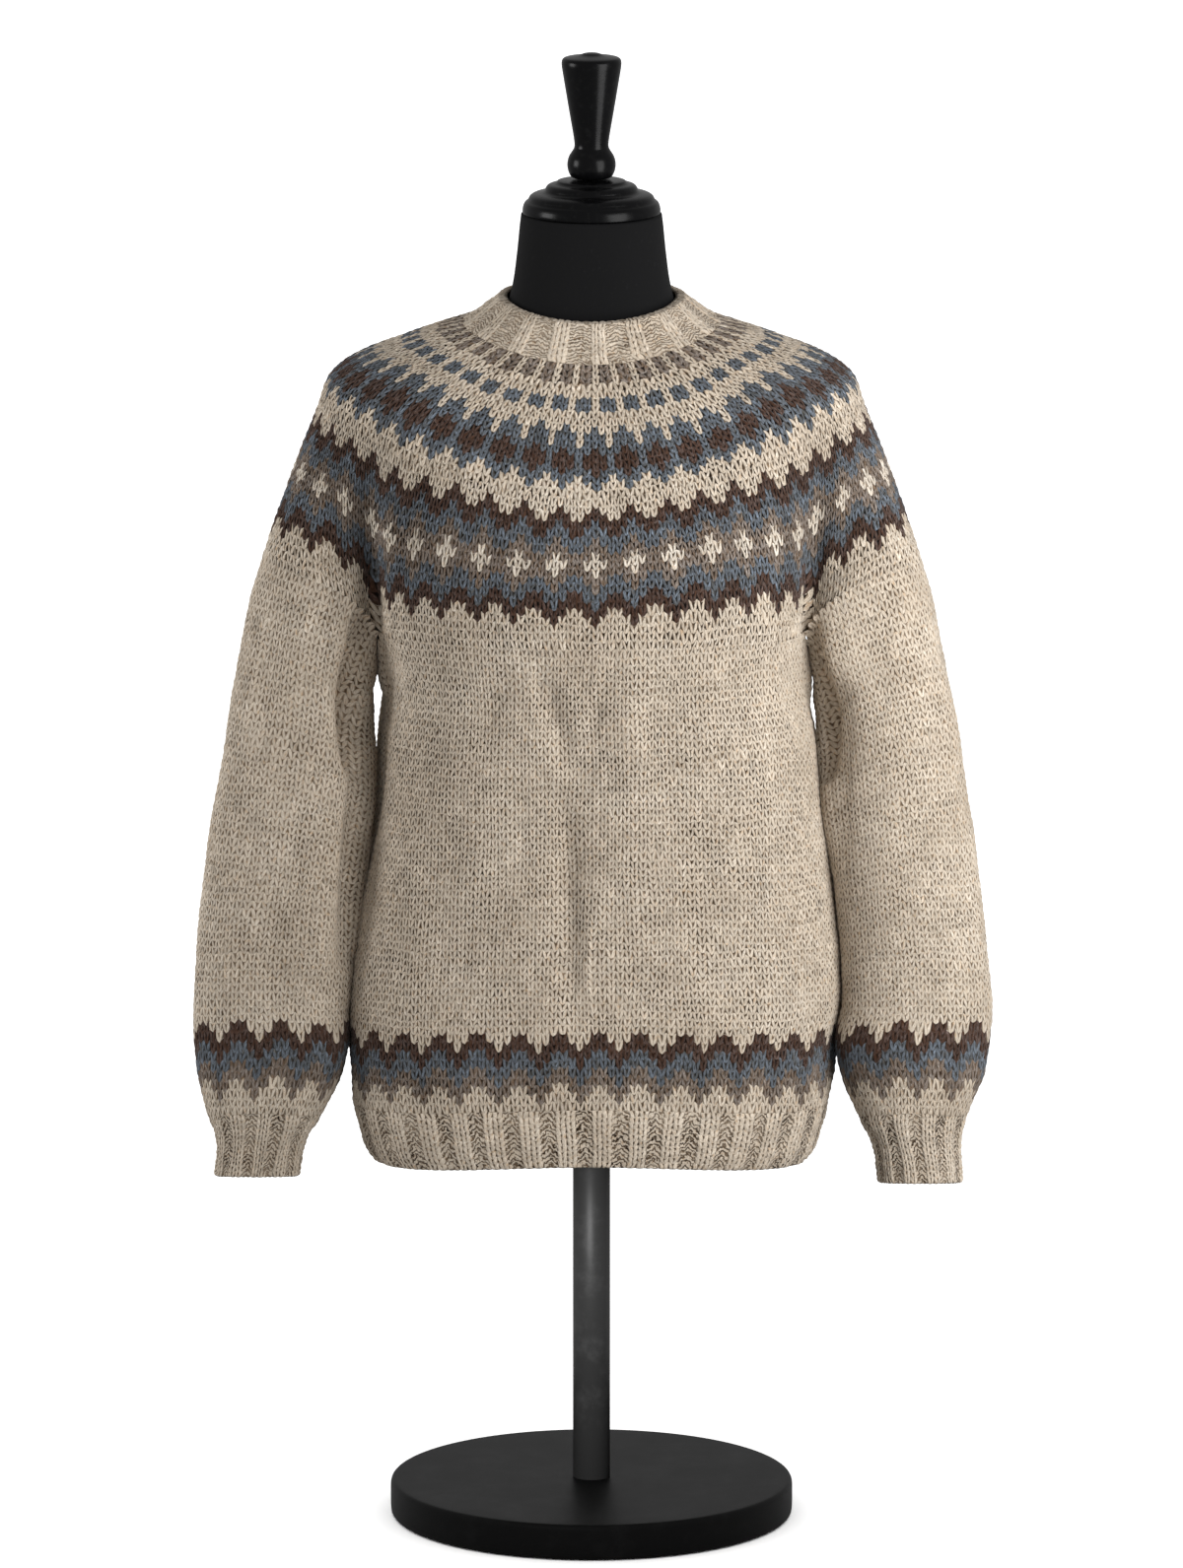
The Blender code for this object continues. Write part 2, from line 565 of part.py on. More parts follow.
def turned(name, profile, finish):
    """A solid of revolution: the profile runs down its outer side, from axis to axis."""
    points = [(r * MM, 0.0, z * MM) for r, z in profile]
    mesh = bpy.data.meshes.new(name)
    mesh.from_pydata(points, [(i, i + 1) for i in range(len(points) - 1)], [])
    mesh.materials.append(material(finish))
    piece = bpy.data.objects.new(name, mesh)
    bpy.data.collections[MODEL].objects.link(piece)
    screw = piece.modifiers.new("turn", "SCREW")
    screw.steps = TURNED_STEPS
    screw.render_steps = TURNED_STEPS
    screw.use_merge_vertices = True
    screw.merge_threshold = 0.0001
    screw.use_smooth_shade = True
    return piece


def build_sweater():
    """The yoke, body, sleeves and their ribs."""
    yoke_places = np.arange(0, 2 * YOKE_HALF, 0.5)
    sections = between(YOKE_COLUMNS, YOKE_SECTIONS, YOKE_RINGS)
    yoke = np.array([yoke_ring(s, yoke_places) for s in sections])
    plain_tube("yoke", yoke, "patterned wool", NECK_TILT)

    ups = (1.0, 0.75, 0.4, 0.0)
    collar = np.array([oval_ring(s, yoke_places)
                       for s in between(NECKBAND_COLUMNS, NECKBAND_SECTIONS, ups)])
    collar[-1] += unit(collar[-2] - collar[-1]) * SEAM
    direction = outward(collar, bottom_tilt=NECK_TILT)
    neckband = raised(collar[::-1], direction[::-1])[::-1]
    cloth_tube("neckband", neckband, collar - direction * WALL, "oatmeal wool")

    plain_tube("body", body_grid(body_places(), BODY_RINGS), "oatmeal wool")
    ribbed_tube("hem_rib", hem_grid(body_places(fine=2), (0.0, 0.15, 0.55, 1.0)), "oatmeal wool")

    for side, folds in (("left", LEFT_SLEEVE_FOLDS), ("right", RIGHT_SLEEVE_FOLDS)):
        sleeve = sleeve_grid(sleeve_places(), SLEEVE_RINGS, folds, side)
        cuff = cuff_grid(sleeve_places(fine=2), (0.0, 0.15, 0.5, 1.0), side)
        if side == "right":
            sleeve, cuff = mirrored(sleeve), mirrored(cuff)
        plain_tube(f"sleeve_{side}", sleeve, "oatmeal wool")
        ribbed_tube(f"cuff_{side}", cuff, "oatmeal wool")


def build_form():
    """The jersey-covered torso with its neck, closed at the top and under the hips."""
    around = np.arange(TORSO_SIDES) * 2 * YOKE_HALF / TORSO_SIDES
    rings = [dict(zip(TORSO_COLUMNS, row)) for row in TORSO_SECTIONS]
    grid = np.array([oval_ring(ring, around) for ring in rings])
    count, last = TORSO_SIDES, (len(rings) - 1) * TORSO_SIDES
    faces = [tuple(range(count)), tuple(range(last, last + count))[::-1]]
    for i in range(len(rings) - 1):
        faces += band(i * count, (i + 1) * count, count)
    add_mesh("form_torso", grid.reshape(-1, 3), faces, "black jersey")


def build_stand():
    """The neck's cap and finial, and the pole on its round base."""
    turned("neck_cap", CAP_PROFILE, "black wood")
    turned("finial", FINIAL_PROFILE, "black wood")
    turned("base", BASE_PROFILE, "black metal")
    bottom = BASE_HEIGHT + SEAM
    top = TORSO_SECTIONS[-1][4] - SEAM
    bpy.ops.mesh.primitive_cylinder_add(vertices=POLE_SIDES, radius=POLE_RADIUS * MM,
                                        depth=(top - bottom) * MM,
                                        location=(0.0, 0.0, (top + bottom) / 2 * MM))
    pole = bpy.context.object
    pole.name = "pole"
    pole.data.materials.append(material("black metal"))
    pole.data.shade_smooth()
    pole.data.set_sharp_from_angle(angle=np.radians(50))
    for collection in list(pole.users_collection):
        collection.objects.unlink(pole)
    bpy.data.collections[MODEL].objects.link(pole)


MODEL = "nordic yoke sweater"

for leftover in list(bpy.data.objects):
    bpy.data.objects.remove(leftover, do_unlink=True)
bpy.context.scene.collection.children.link(bpy.data.collections.new(MODEL))

build_sweater()
build_form()
build_stand()
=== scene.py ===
"""The looks of a nordic yoke sweater on a limbless dress form.

The form's surfaces come from the same tables and ring functions as the solids, in millimetres,
sampled at stitch size. Each knitted tube is one closed grid whose cells are halves of stitches:
the cells' edges zigzag as knitting does, every cell carries its yarn's colour from charts of
the pattern, and its points sink between the legs of the stitches.
"""

import math

import bpy
import numpy as np
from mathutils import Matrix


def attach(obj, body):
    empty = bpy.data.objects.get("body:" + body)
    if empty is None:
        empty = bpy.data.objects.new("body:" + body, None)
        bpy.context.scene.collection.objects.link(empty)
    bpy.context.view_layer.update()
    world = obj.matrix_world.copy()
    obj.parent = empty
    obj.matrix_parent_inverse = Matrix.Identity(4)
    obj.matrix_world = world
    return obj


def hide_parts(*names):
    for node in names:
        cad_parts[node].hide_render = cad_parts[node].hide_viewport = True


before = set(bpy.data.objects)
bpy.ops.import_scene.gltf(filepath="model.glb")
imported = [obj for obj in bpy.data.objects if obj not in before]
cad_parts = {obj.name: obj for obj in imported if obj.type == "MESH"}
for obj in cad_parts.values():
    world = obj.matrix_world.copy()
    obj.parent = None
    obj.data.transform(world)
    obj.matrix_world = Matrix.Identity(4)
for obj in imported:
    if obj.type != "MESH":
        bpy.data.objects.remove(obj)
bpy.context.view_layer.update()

MM = 0.001

# --- the sweater's counts, in pattern repeats ---
FRONT_HALF = 7.0  # centre front to the armhole
SLEEVE_HALF = 4.0  # shoulder line to the armhole
GUSSET = 1.6  # underarm stitches between body and sleeve
YOKE_HALF = 2 * FRONT_HALF + 2 * SLEEVE_HALF
BODY_HALF = 2 * FRONT_HALF + GUSSET
SLEEVE_ROUND = 2 * SLEEVE_HALF + GUSSET
ARMHOLE_ROW = 38.0  # knitted rows from the neckband to the armholes

# --- cloth ---
WALL = 3.0
SEAM = 0.3  # air between two pieces that are knitted together
ARMHOLE_SEAM = 0.5  # the same under the yoke's slanting edge over a sleeve
NECK_TILT = 50.0  # degrees: the wall's lean where neckband and yoke meet
OVAL = 0.9  # under 1 squares an ellipse off a little
ARMHOLE_SIDE = 174.5  # half the body's width at the armholes
SLEEVE_DEPTH = 52.0  # half a sleeve's depth there
ARC_REACH = 0.93  # brings the arc over a sleeve's top towards the armhole's corners

# --- heights ---
CORNER_DROP = 6.0  # the armhole's corner under the centre front
GUSSET_DROP = 24.0  # how far the underarm hangs below that corner
RIB_TOP = 352.0  # middle height of the body's lower edge
SAG, SAG_BOW = 6.0, 11.0  # how far that edge rides up at the centre front, as two waves
HEM_LENGTH = 47.5
CUFF_TOP = 341.0  # at the sleeve's inner and outer lines
CUFF_BOW = 8.0  # how much higher it lies in front and behind
CUFF_ENDS = {"left": 283.5, "right": 289.0}
CUFF_LEAN = 6.0  # a cuff's end is this much higher in front, lower behind
CUFF_SWING = {"left": 0.0, "right": 3.0}  # how far a cuff's end stands further out

YOKE_SECTIONS = (
    ("row", "side", "front", "back", "side_z", "front_z", "back_z", "split"),
    (0, 103, 90, 84, 989, 968.5, 1000, 0),
    (4, 132, 102, 97, 982, 948, 983, 0),
    (8, 161.5, 112.5, 108, 972.5, 927.5, 963, 0),
    (12, 190, 121, 117, 961.5, 905, 941.5, 0),
    (16, 211.5, 127.5, 124, 945.5, 881.5, 918, 0.06),
    (20, 221, 132.5, 129, 920, 857.5, 892, 0.18),
    (26, 236.5, 137, 133.5, 881, 821, 848, 0.48),
    (32, 251.5, 139, 136, 840, 784, 800, 0.8),
    (38, 266.5, 139, 136, 795, 744.5, 748, 1),
)

BODY_SECTIONS = (
    ("down", "side", "front", "back"),
    (0, ARMHOLE_SIDE, 139, 136),
    (0.06, 171, 138, 135),
    (0.11, 168.5, 136.5, 133),
    (0.2, 173, 133, 130),
    (0.32, 177.5, 129, 126),
    (0.45, 184, 125, 123),
    (0.58, 190, 122, 121),
    (0.72, 195, 120.5, 120),
    (0.86, 196.5, 119.5, 119),
    (1, 192.5, 117, 116),
)

HEM_SECTIONS = (
    ("down", "side", "front", "back"),
    (0, 192.5, 117, 116),
    (0.5, 185.8, 115, 114),
    (0.8, 180.5, 113.5, 112.5),
    (1, 173.5, 112, 111),
)

SLEEVE_SECTIONS = (
    ("down", "outer", "inner", "depth", "shift"),
    (0, 266.5, 175, SLEEVE_DEPTH, 0),
    (0.08, 276.5, 177, 52, -3),
    (0.15, 285, 176.5, 51, -8),
    (0.25, 294, 175.6, 49.5, -15),
    (0.35, 301.5, 178.2, 47, -21),
    (0.5, 311.5, 185, 44, -25),
    (0.65, 320, 191.2, 42, -26),
    (0.78, 324.5, 194.6, 41, -26),
    (0.88, 323.5, 195.6, 41, -26),
    (0.95, 319, 206, 40, -26),
    (1, 312.5, 217, 39, -26),
)

CUFF_SECTIONS = (
    SLEEVE_SECTIONS[0],
    (0, 312, 217.5, 38.5, -26),
    (0.3, 303, 227, 35.5, -26),
    (0.55, 299.7, 231, 33.5, -26),
    (0.8, 299.7, 232.5, 32.5, -26),
    (1, 300.5, 234, 32, -26),
)

NECKBAND_SECTIONS = (
    ("up", "side", "front", "back", "side_z", "front_z", "back_z"),
    (0, 103, 90, 84, 989, 968.5, 1000),
    (0.4, 92, 84.5, 80, 995.5, 980, 1006),
    (0.75, 81.5, 80.5, 76.5, 1004, 991, 1011.5),
    (1, 75.5, 78.5, 74.5, 1010, 999, 1014.5),
)

# How far the cloth hangs outwards of an even drape on each side, by height: where a sleeve lies
# against the body, and at the sleeve's outer line.
DRAPE_COLUMNS = ("z", "inner", "outer")
DRAPE_LINES = (195.0, 305.0)
DRAPE_HEIGHTS = np.arange(270.0, 801.0, 2.0)  # where the tables' smooth curves are sampled
DRAPES = {
    "left": (
        (270, 0, 0), (310, 0, 0), (325, -0.5, -3), (341, 0, -6), (357, 1, -4.5), (372, 2, -2),
        (390, 2.6, -2), (408, 4.5, -1.5), (430, 9, 0), (460, 10, 0), (500, 10.8, 0),
        (540, 10.8, 0), (600, 12.2, 0), (630, 12.6, 0), (655, 11.5, 0), (675, 9, 0),
        (697, 5.8, 0), (720, 1.5, 0), (738, 0, 0), (746, 0, 0), (754, 0, 0), (800, 0, 0),
    ),
    "right": (
        (270, 0, 2.4), (300, 2, 2.4), (320, 2, 2.4), (338, 1.5, 1), (350, 2.4, 0),
        (372, 2.6, -1), (395, 2.4, -2.5), (430, 3, -2.5), (455, 2.2, -1.5), (490, 0.3, 0),
        (540, 0, 0), (800, 0, 0),
    ),
}

# Folds are soft troughs (or ridges, where the depth is negative) that run down a tube. A place
# around is in repeats: from the centre front on the body (the -X side is negative), and from
# the outermost line on a sleeve (towards the front is negative). Then come the shares of the way
# down where the fold starts and ends, its width in repeats and its depth.
BODY_FOLDS = (
    (-0.4, -0.05, 0.62, 0.9, 3.2), (-6.1, -0.05, 0.24, 0.7, 4.5), (5.9, -0.05, 0.2, 0.7, 4),
    (3.6, 0.1, 0.75, 1, -1.8), (-3.9, 0.15, 0.85, 1.1, -2), (14.9, 0, 0.7, 1, 3),
    (-12.2, 0.1, 0.85, 1.1, 2.4), (11.8, 0, 0.6, 1, 2.6),
)
SLEEVE_FOLDS = {
    "left": ((-2.3, -0.05, 0.36, 0.6, 4), (-3.5, -0.02, 0.18, 0.5, -3.5),
             (1.4, 0, 0.5, 0.7, 3.5)),
    "right": ((-1.9, -0.05, 0.42, 0.6, 4.5), (-3.4, -0.02, 0.16, 0.5, -3),
              (1.7, 0.05, 0.6, 0.7, 4)),
}

# --- dress form and stand ---
TORSO_TOP = 1076.0
TORSO_END = 382.0
TORSO_SECTIONS = (
    ("ring", "side", "front", "back", "side_z", "front_z", "back_z"),
    (0, 56.8, 56.8, 56.8, TORSO_TOP, TORSO_TOP, TORSO_TOP),
    (1, 58, 58, 58, 1066, 1066, 1066),
    (2, 60.2, 60.2, 60.2, 1044, 1044, 1044),
    (3, 63.5, 63, 63, 1020, 1018, 1020),
    (4, 69, 67, 67, 1000, 996, 1004),
    (5, 79, 74, 72, 989.5, 978, 997),
    (6, 99, 84, 79, 984, 965, 992),
    (7, 128, 96.5, 92, 979, 945, 979),
    (8, 157, 106.5, 102.5, 969, 924.5, 959.5),
    (9, 182, 114.5, 111, 957.5, 902.5, 938),
    (10, 194, 119.5, 117, 941, 877, 914),
    (11, 197, 123.5, 120.5, 916, 853, 887),
    (12, 191, 127.5, 121.5, 868, 824, 846),
    (13, 174, 129, 119, 808, 790, 800),
    (14, 160, 125, 113, 748, 746, 747),
    (15, 148, 112, 102, 690, 690, 690),
    (16, 136, 96, 91, 620, 620, 620),
    (17, 140, 93, 94, 555, 555, 555),
    (18, 155, 98, 105, 485, 485, 485),
    (19, 164, 101, 109, 425, 425, 425),
    (20, 162, 99, 107, 396, 396, 396),
    (21, 155, 93, 101, 386, 386, 386),
    (22, 143, 82, 90, TORSO_END, TORSO_END, TORSO_END),
)

CAP_PROFILE = (
    (0, 1104.9), (26.8, 1104.6), (28.6, 1101.6), (34.6, 1100.6), (37, 1098), (38, 1094.6),
    (46.4, 1093.2), (50, 1091), (51.2, 1087.8), (54, 1086), (55.4, 1082.4), (55.8, 1078.8),
    (55.2, 1076.3), (0, 1076.3),
)
FINIAL_PROFILE = (
    (0, 1207.5), (6, 1207), (9.6, 1205.2), (20.5, 1203.8), (23.6, 1202.4), (24.4, 1198.6),
    (23.4, 1192), (21.4, 1180), (19.4, 1168), (17.2, 1155), (14.9, 1142), (13.4, 1131.6),
    (15.2, 1128), (18.6, 1123.2), (20, 1116), (18, 1108.4), (14.4, 1105.2), (0, 1105.2),
)
POLE_RADIUS = 15.2
BASE_HEIGHT = 30.0
BASE_PROFILE = (
    (0, 30), (160.4, 30), (163, 29.2), (164.3, 27.2), (164.6, 24), (164.6, 4.5), (163.4, 1.3),
    (160.2, 0), (0, 0),
)


def between(table, place):
    """Read a table at places along its first column, on a smooth curve through its rows.

    Its first row names the columns. Each stretch is a cubic whose slopes at both ends are the
    mean slopes of the table there.
    """
    columns, *sections = table
    knots = np.array(sections, float)
    at = knots[:, 0]
    slopes = np.gradient(knots, at, axis=0)
    place = np.atleast_1d(np.asarray(place, float))
    i = np.clip(np.searchsorted(at, place, side="right") - 1, 0, len(at) - 2)
    span = (at[i + 1] - at[i])[:, None]
    t = (place - at[i])[:, None] / span
    rows = ((2 * t**3 - 3 * t**2 + 1) * knots[i] + (t**3 - 2 * t**2 + t) * span * slopes[i]
            + (3 * t**2 - 2 * t**3) * knots[i + 1] + (t**3 - t**2) * span * slopes[i + 1])
    return [dict(zip(columns, row)) for row in rows]


def apart(around, place, whole):
    """How far round a tube lies from a place on it, the short way and with its sign."""
    return (around - place + whole / 2) % whole - whole / 2


def halves(around, half):
    """Split places round a tube into a distance from the centre front and a hand."""
    turn = apart(np.asarray(around, float), 0, 2 * half)
    return np.abs(turn), np.where(turn < 0, -1.0, 1.0)


def stacked(table, down, ring):
    """A grid of rings, each a function of a table's row and of its place in the table."""
    return np.array([ring(row, share) for row, share in zip(between(table, down), down)])


def spread(curve, share):
    """Give the points of a plane curve at shares (0 to 1) of its length."""
    steps = np.hypot(*np.diff(curve, axis=0).T)
    length = np.concatenate(([0.0], np.cumsum(steps)))
    length /= length[-1]
    return np.stack([np.interp(share, length, curve[:, k]) for k in (0, 1)], axis=-1)


def half_oval(section, share, side=None):
    """Half of a rounded oval seen from above, from the centre front past +X to the back."""
    t = np.linspace(0.0, np.pi, 361)
    depth = np.where(t < np.pi / 2, section["front"], section["back"])
    curve = np.stack([(side or section["side"]) * np.sin(t)**OVAL,
                      -depth * np.sign(np.cos(t)) * np.abs(np.cos(t))**OVAL], axis=-1)
    return spread(curve, share)


def round_tube(section, around):
    """A sleeve's ellipse seen from above, by its place around: 0 is its outermost line."""
    t = np.linspace(-np.pi, np.pi, 361)
    half = (section["outer"] - section["inner"]) / 2
    curve = np.stack([section["outer"] - half + half * np.cos(t),
                      section["shift"] + section["depth"] * np.sin(t)], axis=-1)
    return spread(curve, around / SLEEVE_ROUND + 0.5)


def split_outline(section, m):
    """The yoke's outline where body and sleeves part: two arcs that meet in a sharp corner."""
    def trunk(place):
        return half_oval(section, place / BODY_HALF, ARMHOLE_SIDE)

    corners = trunk(np.array([FRONT_HALF, FRONT_HALF + GUSSET]))
    inner = 2 * corners[0, 0] - section["side"] + (section["side"] - corners[0, 0]) * ARC_REACH
    tube = {"outer": section["side"], "inner": inner, "depth": SLEEVE_DEPTH, "shift": 0.0}
    ends = round_tube(tube, np.array([-SLEEVE_HALF, SLEEVE_HALF]))
    p = np.clip((m - FRONT_HALF) / (2 * SLEEVE_HALF), 0, 1)[:, None]
    arc = (round_tube(tube, np.clip(m - YOKE_HALF / 2, -SLEEVE_HALF, SLEEVE_HALF))
           + (1 - p) * (corners[0] - ends[0]) + p * (corners[1] - ends[1]))
    on_sleeve = np.abs(m - YOKE_HALF / 2) < SLEEVE_HALF
    on_body = np.where(m < YOKE_HALF / 2, m, m - 2 * SLEEVE_HALF + GUSSET)
    return np.where(on_sleeve[:, None], arc, trunk(on_body))


def yoke_height(section, m):
    """Heights round one of the yoke's rows: level on an oval, stepped where it is split."""
    middle = np.where(m < YOKE_HALF / 2, section["front_z"], section["back_z"])
    whole = middle + (section["side_z"] - middle) * np.sin(np.pi * m / YOKE_HALF)**2
    rise = np.clip(1 - np.abs(m - YOKE_HALF / 2) / SLEEVE_HALF, 0, 1)
    corner = middle - CORNER_DROP
    to_corner = np.clip(np.minimum(m, YOKE_HALF - m) / FRONT_HALF, 0, 1)
    split = np.where(rise > 0, corner + (section["side_z"] - corner) * (1 - (1 - rise)**3),
                     middle - CORNER_DROP * to_corner**3)
    return whole + section["split"] * (split - whole)


def yoke_ring(section, s):
    """One row of the yoke as points, for places s around it."""
    m, hand = halves(s, YOKE_HALF)
    xy = half_oval(section, m / YOKE_HALF)
    if section["split"] > 0:
        xy = xy + section["split"] * (split_outline(section, m) - xy)
    return np.stack([hand * xy[:, 0], xy[:, 1], yoke_height(section, m)], axis=-1)


def oval_grid(table, down, s):
    """Rings that are ovals from above and bend from their side height to front and back."""
    return stacked(table, down, lambda row, _: yoke_ring({**row, "split": 0.0}, s))


def armhole_z(q):
    """Height of the body's upper edge at a place q on its half; the underarm hangs lower."""
    last = between(YOKE_SECTIONS, ARMHOLE_ROW)[0]
    m = np.where(q > FRONT_HALF, np.maximum(q - GUSSET, FRONT_HALF) + 2 * SLEEVE_HALF, q)
    edge = yoke_height(last, np.where(q < FRONT_HALF + GUSSET, np.minimum(q, FRONT_HALF), m))
    g = np.clip((q - FRONT_HALF) / GUSSET, 0, 1)
    back_corner = last["back_z"] - CORNER_DROP
    front_corner = last["front_z"] - CORNER_DROP
    return np.where((q > FRONT_HALF) & (q < FRONT_HALF + GUSSET),
                    front_corner + (back_corner - front_corner) * g,
                    edge) - GUSSET_DROP * np.sin(np.pi * g)


def sag(q):
    """The lower rows ride up at the centre front and hang at the sides."""
    forward = np.cos(np.pi * q / BODY_HALF)
    return SAG * forward + SAG_BOW * forward**2 - SAG


def fold_arch(along):
    """A fold's depth along its run: soft at both ends."""
    return (4 * along * (1 - along))**2


def crease_arch(along):
    """A crease's depth along its run: blunter at both ends."""
    return np.sin(np.pi * along)**0.55


def creased(base, around, down, creases, whole, arch=crease_arch):
    """Sink a tube along its creases, each a soft bell across and an arch along its run.

    A crease's row: its place round the tube, or two that it runs straight between, where down
    the tube it starts and ends, its width and its depth.
    """
    depth = np.zeros(base.shape[:2])
    for *ends, start, end, width, sink in creases:
        along = np.clip((down - start) / (end - start), 0, 1)[:, None]
        middle = ends[0] + (ends[-1] - ends[0]) * along
        depth += sink * np.exp(-(apart(around, middle, whole) / width)**2) * arch(along)
    return base - outward(base) * depth[..., None]


def hung(grid, side="left"):
    """Move cloth sideways by its height, by a side's table at +X and by the right's at -X."""
    x, z = grid[..., 0], grid[..., 2]
    moved = grid.copy()
    for table, hand in ((DRAPES[side], 1.0), (DRAPES["right"], -1.0)):
        rows = between((DRAPE_COLUMNS, *table), DRAPE_HEIGHTS)
        inner, outer = (np.interp(z, DRAPE_HEIGHTS, [row[key] for row in rows])
                        for key in ("inner", "outer"))
        near = np.clip(x * hand / DRAPE_LINES[0], 0, 1)**2
        over = np.clip((x * hand - DRAPE_LINES[0]) / (DRAPE_LINES[1] - DRAPE_LINES[0]), 0, 1)
        moved[..., 0] += hand * (inner * near * (1 - over) + outer * over)
    return moved


def unit(vectors):
    """The same directions with length one."""
    return vectors / np.linalg.norm(vectors, axis=-1, keepdims=True)


def ahead(rings, axis=0):
    """From each point's neighbour behind to the one in front."""
    return np.roll(rings, -1, axis) - np.roll(rings, 1, axis)


def level_out(ring):
    """Level directions out of a ring that runs round against the clock."""
    x, y, _ = ahead(ring).T
    return unit(np.column_stack([y, -x, np.zeros(len(ring))]))


def edge_down(ring):
    """Directions that run down the cloth, square to its upper edge."""
    return unit(np.cross(level_out(ring), ahead(ring))) * -1.0


def outward(grid, top_tilt=0.0, bottom_tilt=0.0):
    """Directions out of a grid of rings that run top to bottom.

    Both end rings take a stated tilt, so that two pieces share it where they meet.
    """
    normal = unit(np.cross(np.gradient(grid, axis=0), ahead(grid, 1)))
    for end, tilt in ((0, top_tilt), (-1, bottom_tilt)):
        lean = np.radians(tilt)
        normal[end] = level_out(grid[end]) * np.cos(lean) + [0.0, 0.0, np.sin(lean)]
    return normal


def body_grid(around, down):
    """The body's outer surface: its oval at each share of the way down from armhole to rib."""
    q, hand = halves(around, BODY_HALF)
    top = armhole_z(q)
    bottom = RIB_TOP + sag(q)
    at_gusset = np.abs(q - FRONT_HALF - GUSSET / 2) < GUSSET / 2 + 0.01

    def ring(section, share):
        xy = half_oval(section, q / BODY_HALF)
        clear = SEAM / 2 * at_gusset * np.exp(-share / 0.05)
        return np.column_stack([hand * (xy[:, 0] - clear), xy[:, 1],
                                top + (bottom - top) * share])

    grid = stacked(BODY_SECTIONS, down, ring)
    grid = creased(grid, hand * q, down, BODY_FOLDS, 2 * BODY_HALF, fold_arch)
    grid[0] += edge_down(grid[0]) * SEAM
    return hung(grid)


def hem_grid(around, down):
    """The hem rib's plain outer surface, hung from the body's lower edge."""
    q, hand = halves(around, BODY_HALF)

    def ring(section, share):
        xy = half_oval(section, q / BODY_HALF)
        return np.column_stack([hand * xy[:, 0], xy[:, 1],
                                RIB_TOP + sag(q) - SEAM - HEM_LENGTH * share])

    return hung(stacked(HEM_SECTIONS, down, ring))


def sleeve_top(q):
    """The sleeve's upper edge: the yoke's split outline, closed by the underarm's gusset."""
    last = between(YOKE_SECTIONS, ARMHOLE_ROW)[0]
    joined = yoke_ring(last, np.clip(q, -SLEEVE_HALF, SLEEVE_HALF) + YOKE_HALF / 2)
    g = np.clip(np.where(q < 0, -SLEEVE_HALF - q, GUSSET + SLEEVE_HALF - q), 0.0, GUSSET)
    under = half_oval(last, (FRONT_HALF + g) / BODY_HALF, ARMHOLE_SIDE)
    under = np.column_stack([under[:, 0] + SEAM / 2, under[:, 1], armhole_z(FRONT_HALF + g)])
    edge = np.where((np.abs(q) > SLEEVE_HALF - 0.01)[:, None], under, joined)
    return edge + edge_down(edge) * ARMHOLE_SEAM


def cuff_edge(q):
    """Height of the line where sleeve and cuff meet: it bows up in front and behind.

    The bow runs straight between places half a repeat apart, closer ones on the gusset.
    """
    half, end = SLEEVE_HALF, SLEEVE_HALF + GUSSET / 2
    corners = np.concatenate([np.linspace(-end, -half, 3, endpoint=False),
                              np.arange(-half, half, 0.5),
                              np.linspace(half, end, 3, endpoint=False)])
    bow = CUFF_BOW * np.sin(2 * np.pi * corners / SLEEVE_ROUND)**2
    return CUFF_TOP + np.interp(q, corners, bow, period=SLEEVE_ROUND)


def sleeve_grid(q, down, side):
    """The +X sleeve's outer surface, eased from the armhole's edge into a plain tube."""
    top = sleeve_top(q)
    tube_top = round_tube(between(SLEEVE_SECTIONS, 0.0)[0], q)
    level = top[:, 2].mean()

    def ring(section, share):
        ease = max(0.0, 1 - share / 0.2)**2
        xy = round_tube(section, q) + (top[:, :2] - tube_top) * ease
        z = level + (cuff_edge(q) - level) * share + (top[:, 2] - level) * (1 - share)**2.2
        return np.column_stack([xy, z])

    grid = stacked(SLEEVE_SECTIONS, down, ring)
    return hung(creased(grid, q, down, SLEEVE_FOLDS[side], SLEEVE_ROUND, fold_arch), side)


def cuff_grid(q, down, side):
    """The +X cuff's plain outer surface, down to its leaning end; the sides differ a little."""

    def ring(section, share):
        top = cuff_edge(q) - SEAM
        xy = round_tube(section, q)
        end = CUFF_ENDS[side] + CUFF_LEAN * (section["shift"] - xy[:, 1]) / section["depth"]
        xy[:, 0] += CUFF_SWING[side] * (3 * share**2 - 2 * share**3)
        return np.column_stack([xy, top + (end - top) * share])

    return hung(stacked(CUFF_SECTIONS, down, ring), side)


# --- the knitting ---
# Yarns: oatmeal, brown, slate blue, taupe and off-white, as linear red, green and blue.
YARNS = {
    "o": (0.610, 0.520, 0.415),
    "n": (0.070, 0.040, 0.029),
    "b": (0.112, 0.128, 0.148),
    "t": (0.200, 0.160, 0.130),
    "w": (0.68, 0.60, 0.50),
}
# The yoke by stretches of like rounds: how many rounds, then one repeat's stitches from its
# axis. The last round lies past the armholes: only the mean gauge counts it. The band has one
# such repeat for each of its rounds.
YOKE_CHART = (
    (3, "ot"), (1, "oo"), (1, "ooo"), (2, "obb"), (1, "ooo"), (1, "oooo"),
    (1, "booo"), (2, "bbob"), (1, "nbbb"), (2, "nnbn"), (1, "nbbb"), (1, "bbob"), (1, "booo"),
    (1, "oooo"), (1, "ooooo"),
    (1, "noooo"), (1, "nnoon"), (1, "bnnnn"), (1, "bbnnb"), (1, "tbbbb"), (1, "ttbbt"),
    (1, "wtttt"), (1, "wwttw"), (1, "wtttt"),
    (1, "ttbbt"), (1, "tbbbb"), (1, "bbnnb"), (1, "bnnnn"), (1, "nnoon"), (1, "noooo"),
    (4, "ooooo"),
)
